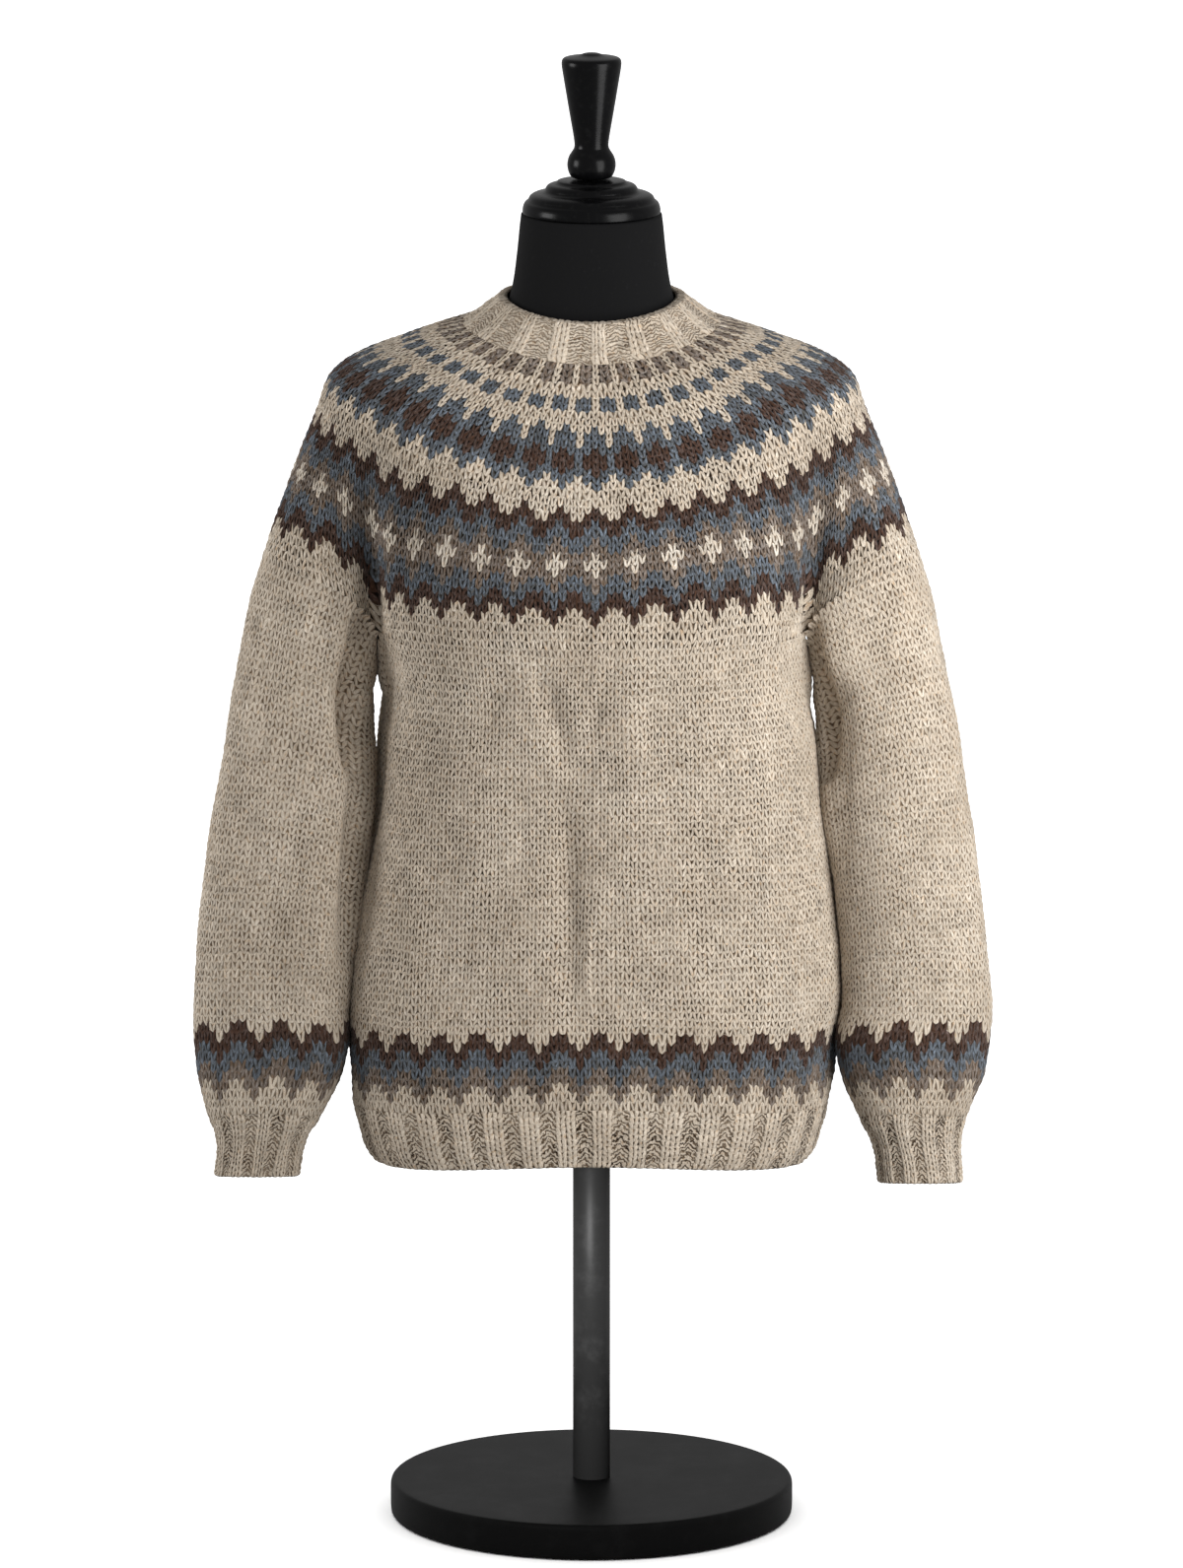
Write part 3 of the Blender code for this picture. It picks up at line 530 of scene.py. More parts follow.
BAND_CHART = "oonno", "onnnn", "nnbbn", "nbbbb", "bbttb", "btttt", "ttoot", "toooo"

# Where a tube's band begins and ends, as rounds and as shares of the way down its front.
BODY_STITCHES, BODY_ROUNDS = 156, 60
BODY_BAND = ((0, 51, 59, 60), (0.0, 0.8315, 0.9817, 1.0))
SLEEVE_STITCHES, SLEEVE_ROUNDS = 48, 67
SLEEVE_BAND = ((0, 57, 65, 67), (0.0, 0.818, 0.9687, 1.0))
HEM_STITCHES, HEM_ROUNDS = 136, 10
CUFF_STITCHES, CUFF_ROUNDS = 44, 12
COLLAR_STITCHES, COLLAR_ROUNDS = 68, 6
YOKE_REPEATS, YOKE_ROUNDS = 44, 38
SKIPPED = 39  # a stitch at the body's side that its band leaves out
# Columns of a tube's mesh to a stitch, on the yoke to a repeat, and its rings to a round.
YOKE_MESH, BODY_MESH, SLEEVE_MESH, RIB_MESH, COLLAR_MESH = (20, 2), (4, 2), (4, 3), (5, 3), (6, 4)

RELIEF, SLEEVE_RELIEF = 1.5, 1.1  # how deep the cloth sinks between two stitches
PROUD = 0.35  # how far a stitch's crown stands out of the solid's face
ZIGZAG = 0.46  # a stitch's legs rise by this share of a round
RIB_RISE = 1.7
INNER_RINGS = 12
INSIDE_SHADE = 0.9
LEG_LEAN = 0.55  # how far a leg's axis leans, in half widths of a leg
UNGATHERED = (0, 1, 0.5)
YOKE_SMOOTHING = 7.0  # columns of the yoke's mesh
YOKE_SWAY = 0.21  # how far the yoke's stitches lean round it at most, in repeats


def softened(grid, width):
    """Smooth a grid's columns with a bell of a width in columns, by way of its waves."""
    waves = np.fft.rfftfreq(grid.shape[1]) * 2 * np.pi * width
    damped = np.fft.rfft(grid, axis=1) * np.exp(-waves**2 / 2)[None, :, None]
    return np.fft.irfft(damped, n=grid.shape[1], axis=1)


def legs(u):
    """Height across a stitch: two round legs, a deep valley at its sides, a shallow middle."""
    return np.abs(np.sin(2 * np.pi * u))**0.75 + 0.3 * np.sin(np.pi * (u % 1.0))**8


def crown(v):
    """Height along a stitch: it dips under the round above it and the one below."""
    return 0.60 + 0.40 * np.abs(np.sin(np.pi * v))


def zigzag(u):
    """How far up a round's edge lies at a place u across its stitch, in rounds."""
    return ZIGZAG * (np.abs((u % 1.0) - 0.5) * 2 - 0.5)


def slid(grid, down, along):
    """Move a grid's points over its surface by shares of its cells, on straight lines."""
    rings, columns = grid.shape[:2]
    place = np.arange(rings)[:, None] + down
    low = np.clip(np.floor(place).astype(int), 0, rings - 2)
    part = (place - low)[..., None]
    turn = np.arange(columns)[None, :] + along
    left = np.floor(turn).astype(int)
    over = (turn - left)[..., None]
    left, right = left % columns, (left + 1) % columns
    upper = grid[low, left] * (1 - over) + grid[low, right] * over
    lower = grid[low + 1, left] * (1 - over) + grid[low + 1, right] * over
    return upper * (1 - part) + lower * part


def wander(shape, seed, columns, rows, fine):
    """Uneven tension: slow waves of noise, columns by rows wide, with a share of fine noise."""
    draw = np.random.default_rng(seed)
    white = draw.normal(0.0, 1.0, shape)
    around = np.fft.fftfreq(shape[1])[None, :] * 2 * np.pi * columns
    down = np.fft.fftfreq(shape[0])[:, None] * 2 * np.pi * rows
    slow = np.fft.ifft2(np.fft.fft2(white) * np.exp(-(around**2 + down**2) / 2)).real
    return slow / slow.std() + fine * draw.normal(0.0, 1.0, shape)


def stitch_noise(rows, columns, seed):
    """Each stitch's own shade, with slow changes along the yarn, as factors round 1."""
    draw = np.random.default_rng(seed)
    single = draw.normal(0.0, 0.06, (rows, columns))
    yarn = draw.normal(0.0, 1.0, rows * columns)
    slow = np.convolve(yarn, np.hanning(40) / np.sqrt(15.0), "same").reshape(rows, columns)
    return 1.0 + single + 0.014 * slow


def shades(rows, stitches, letters, seed):
    """The yarn colours of whole rounds, given a function from (row, stitch) to its letter."""
    table = np.array([YARNS[name] for name in "onbtw"])
    index = np.array([["onbtw".index(letters(r, k)) for k in range(stitches)]
                      for r in range(rows)])
    return table[index] * stitch_noise(rows, stitches, seed)[..., None]


def grid_quads(rows, rings, columns):
    """Corner numbers of a grid's first rows of cells, in the order of cell_corners()."""
    i, j = np.meshgrid(np.arange(rows), np.arange(columns), indexing="ij")
    i2, j2 = (i + 1) % rings, (j + 1) % columns
    return np.stack([i * columns + j, i2 * columns + j, i2 * columns + j2, i * columns + j2], -1)


def cell_corners(left, right, top, bottom):
    """Each cell's upper left, lower left, lower right and upper right, seen from outside."""
    pairs = (left, top), (left, bottom), (right, bottom), (right, top)
    return np.stack([np.stack(pair, -1) for pair in pairs], -2)


def linked(name, data):
    """Put a mesh, light or camera in the scene."""
    thing = bpy.data.objects.new(name, data)
    bpy.context.collection.objects.link(thing)
    return thing


def ring_mesh(name, points, last, corner_uv, corner_stitch, colours, finish):
    """A closed cloth tube: a grid that wraps both round the tube and over its two edges.

    Corner arrays hold four values for each cell. The outside's first ring and its last one
    keep a sharp edge, so that its shading runs on into the next piece.
    """
    rings, columns = points.shape[:2]
    quads = grid_quads(rings, rings, columns)
    mesh = bpy.data.meshes.new(name)
    mesh.vertices.add(points.shape[0] * points.shape[1])
    mesh.vertices.foreach_set("co", (points * MM).ravel())
    mesh.loops.add(quads.size)
    mesh.loops.foreach_set("vertex_index", quads.ravel())
    mesh.polygons.add(rings * columns)
    mesh.polygons.foreach_set("loop_start", np.arange(rings * columns) * 4)
    for layer, values in (("OFBake", corner_uv), ("stitch", corner_stitch)):
        mesh.uv_layers.new(name=layer).uv.foreach_set("vector", values.ravel())
    yarn = mesh.color_attributes.new("yarn", "FLOAT_COLOR", "CORNER")
    rgba = np.ones((rings, columns, 4, 4))
    rgba[..., :3] = colours[:, :, None, :]
    yarn.data.foreach_set("color", rgba.ravel())
    mesh.update(calc_edges=True)
    mesh.shade_smooth()
    ends = np.empty(len(mesh.edges) * 2, np.int32)
    mesh.edges.foreach_get("vertices", ends)
    ring = ends.reshape(-1, 2) // columns
    rim = (ring[:, 0] == ring[:, 1]) & ((ring[:, 0] == 0) | (ring[:, 0] == last))
    mesh.attributes.new("sharp_edge", "BOOLEAN", "EDGE").data.foreach_set("value", rim)
    mesh.materials.append(finish)
    return linked(name, mesh)


def gathered(u, row, gather):
    """Give the first half of each group of stitches its own share of the group's width.

    gather: the first round that this no longer goes for, the group's stitches and the share.
    """
    last, group, part = gather
    turn = (u / group) % 1.0
    placed = group * (np.floor(u / group) + 0.5 * np.where(
        turn < part, turn / part, 1 + (turn - part) / (1 - part)))
    return np.where(row < last, placed, u)


def knitted(name, base, rounds, yarns, finish, seed, gather=UNGATHERED, rib=0.0,
            edges=(0.0, 0.0), plain=(0.0, 0.0), tilts=(0.0, 0.0), reach=(0.0, 0.0), rim=0.0,
            relief=RELIEF):
    """A knitted tube over a base grid of rings, closed by a plain inner side.

    yarns: the stitches' colours, round by round. gather: see gathered(). rib: height of the
    ribs, two stitches up and two down. plain: the zigzag's share that the first and last ring
    keep. relief: how deep the cloth sinks between two stitches. edges: how far the rims bulge.
    reach: how far the outside runs over the seams. rim: the wall's extra thickness at the top.
    """
    rings, columns = base.shape[:2]
    gauge = np.array([len(stitches) for stitches in yarns])
    steps = (rings - 1) // rounds
    share = np.arange(columns) / columns
    v = np.arange(rings) / steps
    row = np.minimum(v.astype(int), rounds - 1)
    u = share[None, :] * gauge[row][:, None]
    kept = np.ones(rings)
    kept[0], kept[-1] = plain
    normal = outward(base, *tilts)
    knit = np.ones_like(u)
    if rib:
        part = gather[2]
        knit = 0.5 + 0.5 * np.tanh(2.4 * (np.sin(np.pi * (u / 2 + 0.5 - part))
                                          + np.sin(np.pi * (part - 0.5))))
    u = gathered(u, row[:, None], gather)
    wide = columns / np.mean(gauge)
    calm = np.minimum(1.0, np.minimum(v, rounds - v) / 0.6)[:, None]
    drift = wander(u.shape, seed, 1.2 * wide, 3.0 * steps, 0.30) * 0.11 * wide * calm
    lean = wander(u.shape, seed + 1, 0.9 * wide, 0.9 * steps, 0.40) * 0.12 * steps * calm
    outer = slid(base, lean - zigzag(u) * kept[:, None] * knit * steps, drift)
    purl = 0.45 + 0.35 * np.abs(np.sin(np.pi * (v[:, None] + 0.5)))**0.8
    height = (legs(u) * crown(v[:, None])) * knit + purl * (1 - knit)
    height = height * (1 + 0.20 * wander(u.shape, seed + 2, 0.3 * wide, 0.4 * steps, 0.3))
    fade = np.clip(v / 2.0, 0, 1)[:, None]
    lift = PROUD - relief * (1 - np.clip(height, 0.0, 1.15)) + rib * (knit - 0.15) * fade
    outer = outer + normal * lift[..., None]

    levels = np.linspace(0, rings - 1, INNER_RINGS).round().astype(int)
    thick = WALL + rim * np.exp(-v / 1.3)
    inner = (base - normal * thick[:, None, None])[levels][::-1]
    rims = []
    for end, away in ((0, unit(base[0] - base[1])), (-1, unit(base[-1] - base[-2]))):
        outer[end] += away * reach[end]
        scallop = 0.6 + 0.4 * np.abs(np.sin(np.pi * u[end]))
        rims.append((outer[end] + inner[-1 - end]) / 2 + away * (edges[end] * scallop)[:, None])
    points = np.concatenate([outer, rims[1][None], inner, rims[0][None]])

    cells = len(points)
    upper = np.concatenate([v, [rounds], v[levels][::-1], [0.0]])
    lower = np.append(upper[1:], 0.0)
    middle = np.clip((upper + lower) / 2, 0, rounds - 0.01).astype(int)
    middle[:rings - 1] = row[:-1] if steps == 1 else (v[:-1] + 0.25 / steps).astype(int)
    edge = np.arange(columns + 1) / columns
    u = gauge[middle][:, None] * edge[None, :]
    left = gathered(u[:, :-1], middle[:, None], gather)
    right = gathered(u[:, 1:] - 1e-6, middle[:, None], gather)
    colours = np.array([yarns[at][turn] for at, turn in
                        zip(middle, ((left + right) / 2).astype(int))])
    colours[rings - 1:] = np.array(YARNS["o"]) * INSIDE_SHADE
    top = np.repeat(upper[:, None], columns, 1)
    bottom = np.repeat(lower[:, None], columns, 1)
    j, i = np.meshgrid(edge[:-1], np.arange(cells) / cells)
    return ring_mesh(name, points, rings - 1, cell_corners(j, j + 1 / columns, i, i + 1 / cells),
                     cell_corners(left, right, top, bottom), colours, finish)


# --- shader expressions ---
def settle(thing, **settings):
    """Set a thing's attributes."""
    for key, value in settings.items():
        setattr(thing, key, value)


def maths(operation):
    """A method that adds one kind of Math node."""
    return lambda self, *others: self.math(operation, *others)


class Signal:
    """A socket that takes part in Python arithmetic: each operator adds its Math node."""

    def __init__(self, nodes, socket):
        self.nodes, self.socket = nodes, socket

    def math(self, operation, *others):
        return self.nodes.add("ShaderNodeMath", {"operation": operation}, (self,) + others)

    def __rsub__(self, other):
        return (self * -1.0).math("ADD", other)

    __add__ = __radd__ = maths("ADD")
    __mul__ = __rmul__ = maths("MULTIPLY")
    __sub__, __truediv__, __pow__ = maths("SUBTRACT"), maths("DIVIDE"), maths("POWER")
    fract, size, over = maths("FRACT"), maths("ABSOLUTE"), maths("GREATER_THAN")

    def between(self, low, high):
        """A smooth step from 0 at low to 1 at high."""
        return self.nodes.add("ShaderNodeMapRange", {"interpolation_type": "SMOOTHSTEP"},
                              {"Value": self, "From Min": low, "From Max": high})


class Finish:
    """A material or world under construction, with one method that makes any node."""

    def __init__(self, name, kind=bpy.data.materials, shader="Principled BSDF"):
        self.made = kind.new(name)
        self.made.use_nodes = True
        self.tree = self.made.node_tree
        self.shader = self.tree.nodes[shader]

    def feed(self, socket, value):
        """Put a number, colour or signal on a socket."""
        if isinstance(value, Signal):
            self.tree.links.new(value.socket, socket)
        elif isinstance(value, tuple) and len(value) == 3 and socket.type == "RGBA":
            socket.default_value = (*value, 1.0)
        else:
            socket.default_value = value

    def add(self, kind, settings, values=(), out=0):
        """Make a node: its settings first, then its sockets by number or name."""
        node = self.tree.nodes.new(kind)
        settle(node, **settings)
        items = values.items() if isinstance(values, dict) else enumerate(values)
        for key, value in items:
            self.feed(node.inputs[key], value)
        return Signal(self, node.outputs[out])

    def split(self, vector):
        """A vector's three parts."""
        first = self.add("ShaderNodeSeparateXYZ", {}, (vector,))
        node = first.socket.node
        return [Signal(self, node.outputs[k]) for k in range(3)]

    def joined(self, x, y, z=0.0):
        """A vector of three parts."""
        return self.add("ShaderNodeCombineXYZ", {}, (x, y, z))

    def noise(self, vector, scale, detail=2.0, roughness=0.5):
        """Soft noise from 0 to 1."""
        return self.add("ShaderNodeTexNoise", {}, {"Vector": vector, "Scale": scale,
                                                  "Detail": detail, "Roughness": roughness})

    def times(self, first, second):
        """Two vectors or colours multiplied, part by part."""
        return self.add("ShaderNodeVectorMath", {"operation": "MULTIPLY"}, (first, second))

    def blended(self, factor, first, second):
        """From one colour to another by a factor."""
        return self.add("ShaderNodeMix", {"data_type": "RGBA"},
                        {"Factor": factor, 6: first, 7: second}, out=2)

    def layer(self, name):
        """A UV layer."""
        return self.add("ShaderNodeUVMap", {"uv_map": name})

    def places(self):
        """The point's place on its object, in metres."""
        return self.add("ShaderNodeTexCoord", {}, out=3)

    def bump(self, height, strength, distance):
        """Feed the shader's normal with a height."""
        normal = self.add("ShaderNodeBump", {}, {"Height": height, "Strength": strength,
                                                 "Distance": distance})
        self.feed(self.shader.inputs["Normal"], normal)

    def set(self, **values):
        """Give the shader's own sockets plain values or signals."""
        for key, value in values.items():
            self.feed(self.shader.inputs[key.replace("_", " ")], value)
        return self.made


def wool(name, gaps, fibres, bars=0.0):
    """Knitted wool: two leaning oval legs to a stitch, shade painted in their gaps, mixed fibres.

    A leg's height falls with the square of the distance from its axis, which leans outwards
    as it rises, and with the square of the distance from its middle along the round. With bars
    the finish is for a rib: the legs stand straighter, and slanting bars, so many to a round,
    take the place of the second two of four stitches, with shade painted between the bars. The
    gaps' painted shade is deep in some patches and felted over in others, and it turns to a warm
    brown, as shade between wool does. Dyed yarns are the most heathered. Slow blotches change
    the tone, partly as uneven yarn and partly as painted shade of shallow waves in the cloth.
    """
    f = Finish(name)
    u, v, _ = f.split(f.layer("stitch"))
    place = f.places()
    wobble = f.noise(place, 300.0) - 0.5
    felted = f.noise(place, 48.0, 3.0, 0.65)
    hand = 1.0 - u.fract().over(0.5) * 2.0
    along = (v + wobble * 0.50).fract() * 2.0 - 1.0
    across = (u * 2.0).fract() * 2.0 - 1.0 + wobble * 0.9
    across = across - hand * along * (0.30 if bars else LEG_LEAN)
    oval = 1.0 - across * across * 0.95 - along * along * (0.14 if bars else 0.32)
    leg = oval.between(-0.45, 0.75)
    if bars:
        lean = (u.fract() - 0.5) * (1.0 - (u / 2.0).fract().over(0.5) * 2.0)
        bar = 1.0 - ((v * bars + lean * 1.1 + wobble * 2.0).fract() * 2.0 - 1.0).size()
        knit = 1.0 - (u / 4.0).fract().over(0.5)
        leg = leg * knit + (bar.between(0.05, 0.65) * 0.86 + 0.06) * (1.0 - knit)
    # Where leg is low, in the gaps, the colour below is darkened: painted shade. Felted patches
    # make it shallower.
    leg = 1.0 - (1.0 - leg) * (felted * 1.6 + 0.15) * gaps
    strands = f.noise(f.joined(across * 2.4 + u.math("FLOOR") * 7.3, v * 1.9), 1.0, 3.0, 0.65)
    hairs = f.noise(place, 1200.0, 3.0, 0.65)
    named = {"attribute_name": "yarn"}
    dyed = (1.0 - f.add("ShaderNodeAttribute", named, out=2)).between(0.5, 0.8)
    flecks = f.noise(f.joined(u * 2.2, v * 1.2), 1.0, 4.0, 0.75)
    # Slow blotches: uneven yarn, and partly painted shade of shallow waves in the cloth.
    blotch_and_wave_shade = f.noise(place, 18.0, 3.0, 0.6)
    heather = dyed * 2.2 + fibres
    # The tone: painted shade in the gaps, times the fibres' own changes and the slow blotches.
    gap_shaded_tone = (leg * 0.78 + 0.22) * (1.0 + (strands - 0.5) * heather) * (hairs * 0.60 + 0.70)
    gap_shaded_tone = (gap_shaded_tone * (blotch_and_wave_shade * 0.50 + 0.75)).math("MAXIMUM", 0.02)
    # Darker tones turn warmer and paler ones cooler, so the painted shade in the gaps is a warm
    # brown.
    shade = f.joined(gap_shaded_tone, gap_shaded_tone ** 1.13, gap_shaded_tone ** 1.28)
    yarn = f.add("ShaderNodeAttribute", named)
    warm = f.times(yarn, (0.92, 0.76, 0.60))
    pale = f.add("ShaderNodeVectorMath", {"operation": "MULTIPLY_ADD"},
                 (yarn, (1.20, 1.24, 1.30), (0.034, 0.034, 0.034)))
    mixed = f.blended((flecks + dyed * 0.06).between(0.54, 0.70), yarn, warm)
    mixed = f.blended((1.0 - flecks + dyed * 0.05).between(0.52, 0.70), mixed, pale)
    f.bump(leg * 0.70 + strands * 0.35 + hairs * 0.25, 1.0, 0.0018)
    return f.set(Base_Color=f.times(mixed, shade), Roughness=0.95, Sheen_Weight=0.10,
                 Sheen_Roughness=0.5, Specular_IOR_Level=0.05)


def jersey(name):
    """Black stretch jersey: columns of tiny stitches that catch a little light."""
    f = Finish(name)
    u, v, _ = f.split(f.layer("OFBake"))
    wale = ((u * 420.0).fract() - 0.5).size() * 2.0
    course = ((v * 640.0).fract() - 0.5).size() * 2.0
    lint = f.noise(f.places(), 260.0, 4.0, 0.6)
    f.bump(wale * 0.5 + course * 0.3 + lint * 0.4, 0.35, 0.0004)
    black = f.blended(lint.between(0.60, 0.85), (0.0042, 0.0042, 0.0046), (0.012, 0.012, 0.013))
    return f.set(Base_Color=black, Roughness=0.88, Sheen_Weight=0.02, Sheen_Roughness=0.4,
                 Specular_IOR_Level=0.16)


def lacquer(name):
    """Black satin paint on turned wood: faint turning marks and brushed-out specks."""
    f = Finish(name)
    z = f.split(f.places())[2]
    rings = f.noise(f.joined(0.0, 0.0, z * 900.0), 1.0, 3.0, 0.6)
    specks = f.noise(f.places(), 180.0, 4.0, 0.6)
    f.bump(rings * 0.6 + specks * 0.4, 0.16, 0.0005)
    black = f.blended(specks.between(0.5, 0.8), (0.0028, 0.0028, 0.0031), (0.007, 0.007, 0.007))
    return f.set(Base_Color=black, Roughness=specks * 0.12 + 0.18, Specular_IOR_Level=0.11)


def powder_coat(name, grey, gloss):
    """Black satin powder coat on metal: a fine orange-peel skin and a few lighter scuffs."""
    f = Finish(name)
    place = f.places()
    peel = f.noise(place, 1400.0)
    scuffs = f.noise(place, 24.0, 5.0, 0.7)
    f.bump(peel, 0.25, 0.0004)
    black = f.blended(scuffs.between(0.48, 0.72), (grey, grey, grey), (grey * 1.7,) * 3)
    return f.set(Base_Color=black, Roughness=scuffs * 0.14 + 0.36, Specular_IOR_Level=gloss)


# --- smooth pieces ---
def revolved(name, profile, finish, sides=128, rounds=3):
    """A turned solid: the profile's corners are cut three times over, then it goes round +Z.

    Cutting replaces each corner by points a quarter of the way along its two sides.
    """
    line = np.array(profile, float)
    for _ in range(rounds):
        cut = np.stack([line[:-1] * 0.75 + line[1:] * 0.25,
                        line[:-1] * 0.25 + line[1:] * 0.75], 1).reshape(-1, 2)
        line = np.concatenate([line[:1], cut[1:-1], line[-1:]])
    turn = np.arange(sides) * 2 * np.pi / sides
    ring = np.stack([np.cos(turn), np.sin(turn)], -1)
    body = line[1:-1]
    points = np.concatenate([body[:, :1, None] * ring[None], np.repeat(
        body[:, 1][:, None, None], sides, 1)], -1).reshape(-1, 3)
    return capped(name, points, len(body), sides, (line[0, 1], line[-1, 1]), finish)


def capped(name, points, rings, sides, heights, finish):
    """A closed stack of rings, top to bottom, with a fan to a middle point at each end."""
    last = (rings - 1) * sides
    top, bottom = rings * sides, rings * sides + 1
    k = np.arange(sides)
    k2 = (k + 1) % sides
    fans = np.concatenate([np.stack([np.full(sides, top), k, k2], -1),
                           np.stack([np.full(sides, bottom), last + k2, last + k], -1)])
    centre = np.reshape(points, (rings, sides, 3))[[0, -1]].mean(axis=1)
    centre[:, 2] = heights
    mesh = bpy.data.meshes.new(name)
    quads = grid_quads(rings - 1, rings, sides).reshape(-1, 4)
    mesh.from_pydata((np.concatenate([points, centre]) * MM).tolist(), [],
                     quads.tolist() + fans.tolist())
    around, down = np.meshgrid(k / sides, np.arange(rings - 1) / rings)
    drop = 1 / rings
    uv = cell_corners(around, around + 1 / sides, down, down + drop).reshape(-1, 2)
    spin = k * 2 * np.pi / sides
    rim = 0.5 + 0.5 * np.stack([np.cos(spin), np.sin(spin)], -1)
    fan_uv = np.stack([np.full((sides, 2), 0.5), rim, rim[k2]], 1).reshape(-1, 2) * (drop, drop)
    fan_uv = fan_uv + (0.0, 1 - drop)
    twin = fan_uv + (0.5, 0.0)
    mesh.uv_layers.new(name="OFBake").uv.foreach_set(
        "vector", np.concatenate([uv, fan_uv, twin]).ravel())
    mesh.shade_smooth()
    mesh.materials.append(finish)
    return linked(name, mesh)


# --- the pieces ---
def mesh_places(stitches, rounds, mesh, whole):
    """Places round a tube, in the units of its whole, and the numbers of its mesh's rings."""
    columns = stitches * mesh[0]
    return np.arange(columns) * whole / columns, np.arange(rounds * mesh[1] + 1)


def band_yarns(rounds, stitches, start, offset, seed, skip=math.inf):
    """The yarns of an oatmeal tube whose band starts at a round; one stitch may be skipped."""
    def letter(row, stitch):
        if not start <= row < start + len(BAND_CHART):
            return "o"
        repeat = BAND_CHART[row - start]
        return repeat[(stitch + offset - (stitch >= skip)) % len(repeat)]

    return shades(rounds, stitches, letter, seed)


def make_yoke(finish):
    """The yoke: its rounds grow from two to five stitches in each of 44 repeats."""
    chart = [stitches for rounds, stitches in YOKE_CHART for _ in range(rounds)]
    s, rows = mesh_places(YOKE_REPEATS, YOKE_ROUNDS, YOKE_MESH, 2 * YOKE_HALF)
    v = rows / YOKE_MESH[1]
    base = stacked(YOKE_SECTIONS, v, lambda section, _: yoke_ring(section, s))
    soft = softened(base, YOKE_SMOOTHING)
    share = np.clip((YOKE_ROUNDS - 1.5 - v) / 8, 0, 1)[:, None, None]
    base = base + (soft - base) * share
    base = creased(base, s, v, YOKE_CREASES, 2 * YOKE_HALF)
    sway = (YOKE_SWAY * np.sin(np.pi * s / 11)[None, :]
            * np.sin(np.pi * v / YOKE_ROUNDS)[:, None]**0.5)
    base = slid(base, tension(s, v) * YOKE_MESH[1], sway * YOKE_MESH[0])
    yarns = [shades(1, len(repeat) * YOKE_REPEATS, lambda r, k: repeat[k % len(repeat)],
                    40 + row)[0] for row, repeat in enumerate(chart)]
    return knitted("knit_yoke", base, YOKE_ROUNDS, yarns, finish, seed=401,
                   gather=(3, 2, 0.37), plain=(0.0, 1.0), tilts=(NECK_TILT, 0.0),
                   reach=(0.2, 0.3))


# Where the yoke's rounds lie higher or lower than on an even yoke: place round it, round,
# how many rounds lower, and how many repeats and rounds the change spreads over.
YOKE_TENSION = (
    (0, 20, -0.5, 5, 7), (3.2, 28, -0.9, 2.2, 8), (-3.5, 23, -0.3, 1.2, 5),
    (-6.9, 11, -1.1, 1.5, 4), (6.9, 11, -1, 1.5, 4), (4, 11, 0.8, 1.3, 4),
)


def tension(s, v):
    """How many rounds lower the yoke's points lie, as a sum of bells that is still at its ends."""
    turn = apart(s, 0, 2 * YOKE_HALF)
    low = np.zeros((len(v), len(s)))
    for place, row, lower, wide, tall in YOKE_TENSION:
        low += lower * np.exp(-((turn[None, :] - place) / wide)**2
                              - ((v[:, None] - row) / tall)**2)
    return low * np.clip(np.minimum(v, YOKE_ROUNDS - v) / 4, 0, 1)[:, None]


# Creases that the solids don't have, along rounds: see creased().
YOKE_CREASES = (
    (-7, -7.3, 20, 40, 0.7, 7), (7, 7.2, 22, 40, 0.6, 6), (-9.4, -7.8, 20, 38.5, 0.5, 4.5),
    (9.2, 7.7, 22, 38.5, 0.5, 4), (-4.6, -6, 18, 37, 0.9, 1.4), (4.2, 5.9, 20, 37, 0.9, 1.2),
    (-15.2, -14.8, 20, 40, 0.8, 2.4), (15, 14.7, 21, 40, 0.8, 2.4), (-0.3, -0.4, 24, 41, 1, 1.4),
    (20, 19.2, 22, 38, 0.9, 1.2), (-19, -18.2, 20, 38, 0.9, 1.3),
)


def ripple(base, around, down, waves):
    """Soften a tube's evenness with a few slow waves: columns, rows, phase and depth each."""
    depth = np.zeros(base.shape[:2])
    for columns, rows, phase, height in waves:
        depth += height * np.sin(columns * around[None, :] + rows * down[:, None] + phase)
    fade = np.clip(np.minimum(down, 1 - down) / 0.06, 0, 1)[:, None]
    return base + outward(base) * (depth * fade)[..., None]


BODY_CREASES = (
    (-0.65, -0.5, 18, 51, 0.36, 7.5), (-1.5, -0.45, 0, 18, 0.36, 5.6),
    (0.55, -0.2, 0, 14, 0.3, 3), (1.1, 0.95, 1, 18, 0.5, -3.2), (1.7, 2.2, 4, 25, 0.4, 2.4),
    (-3.9, -3.6, 22, 48, 0.7, 2.6), (-2.4, -2.9, 0, 22, 0.45, 2.2), (3, 3.3, 26, 49, 0.6, 2.2),
    (7.8, 0, 10, 0.6, -2.4), (-7.8, 0, 6, 0.6, -2.2), (14.2, 15.2, 4, 36, 0.4, 4.2),
    (-13.4, -12.6, 18, 50, 0.45, 4), (11.2, 12.1, 14, 46, 0.6, 3.2),
    (-14.9, -13.9, 0, 20, 0.4, 3.6), (9.6, 10.8, 0, 24, 0.5, 3.4), (-10.4, -10.9, 2, 30, 0.6, 3),
    (8.6, 8.2, 20, 50, 0.4, -2.2), (-8.9, -8.4, 26, 50, 0.4, -2.2), (-7.15, -7, 0, 34, 0.6, 6.5),
)
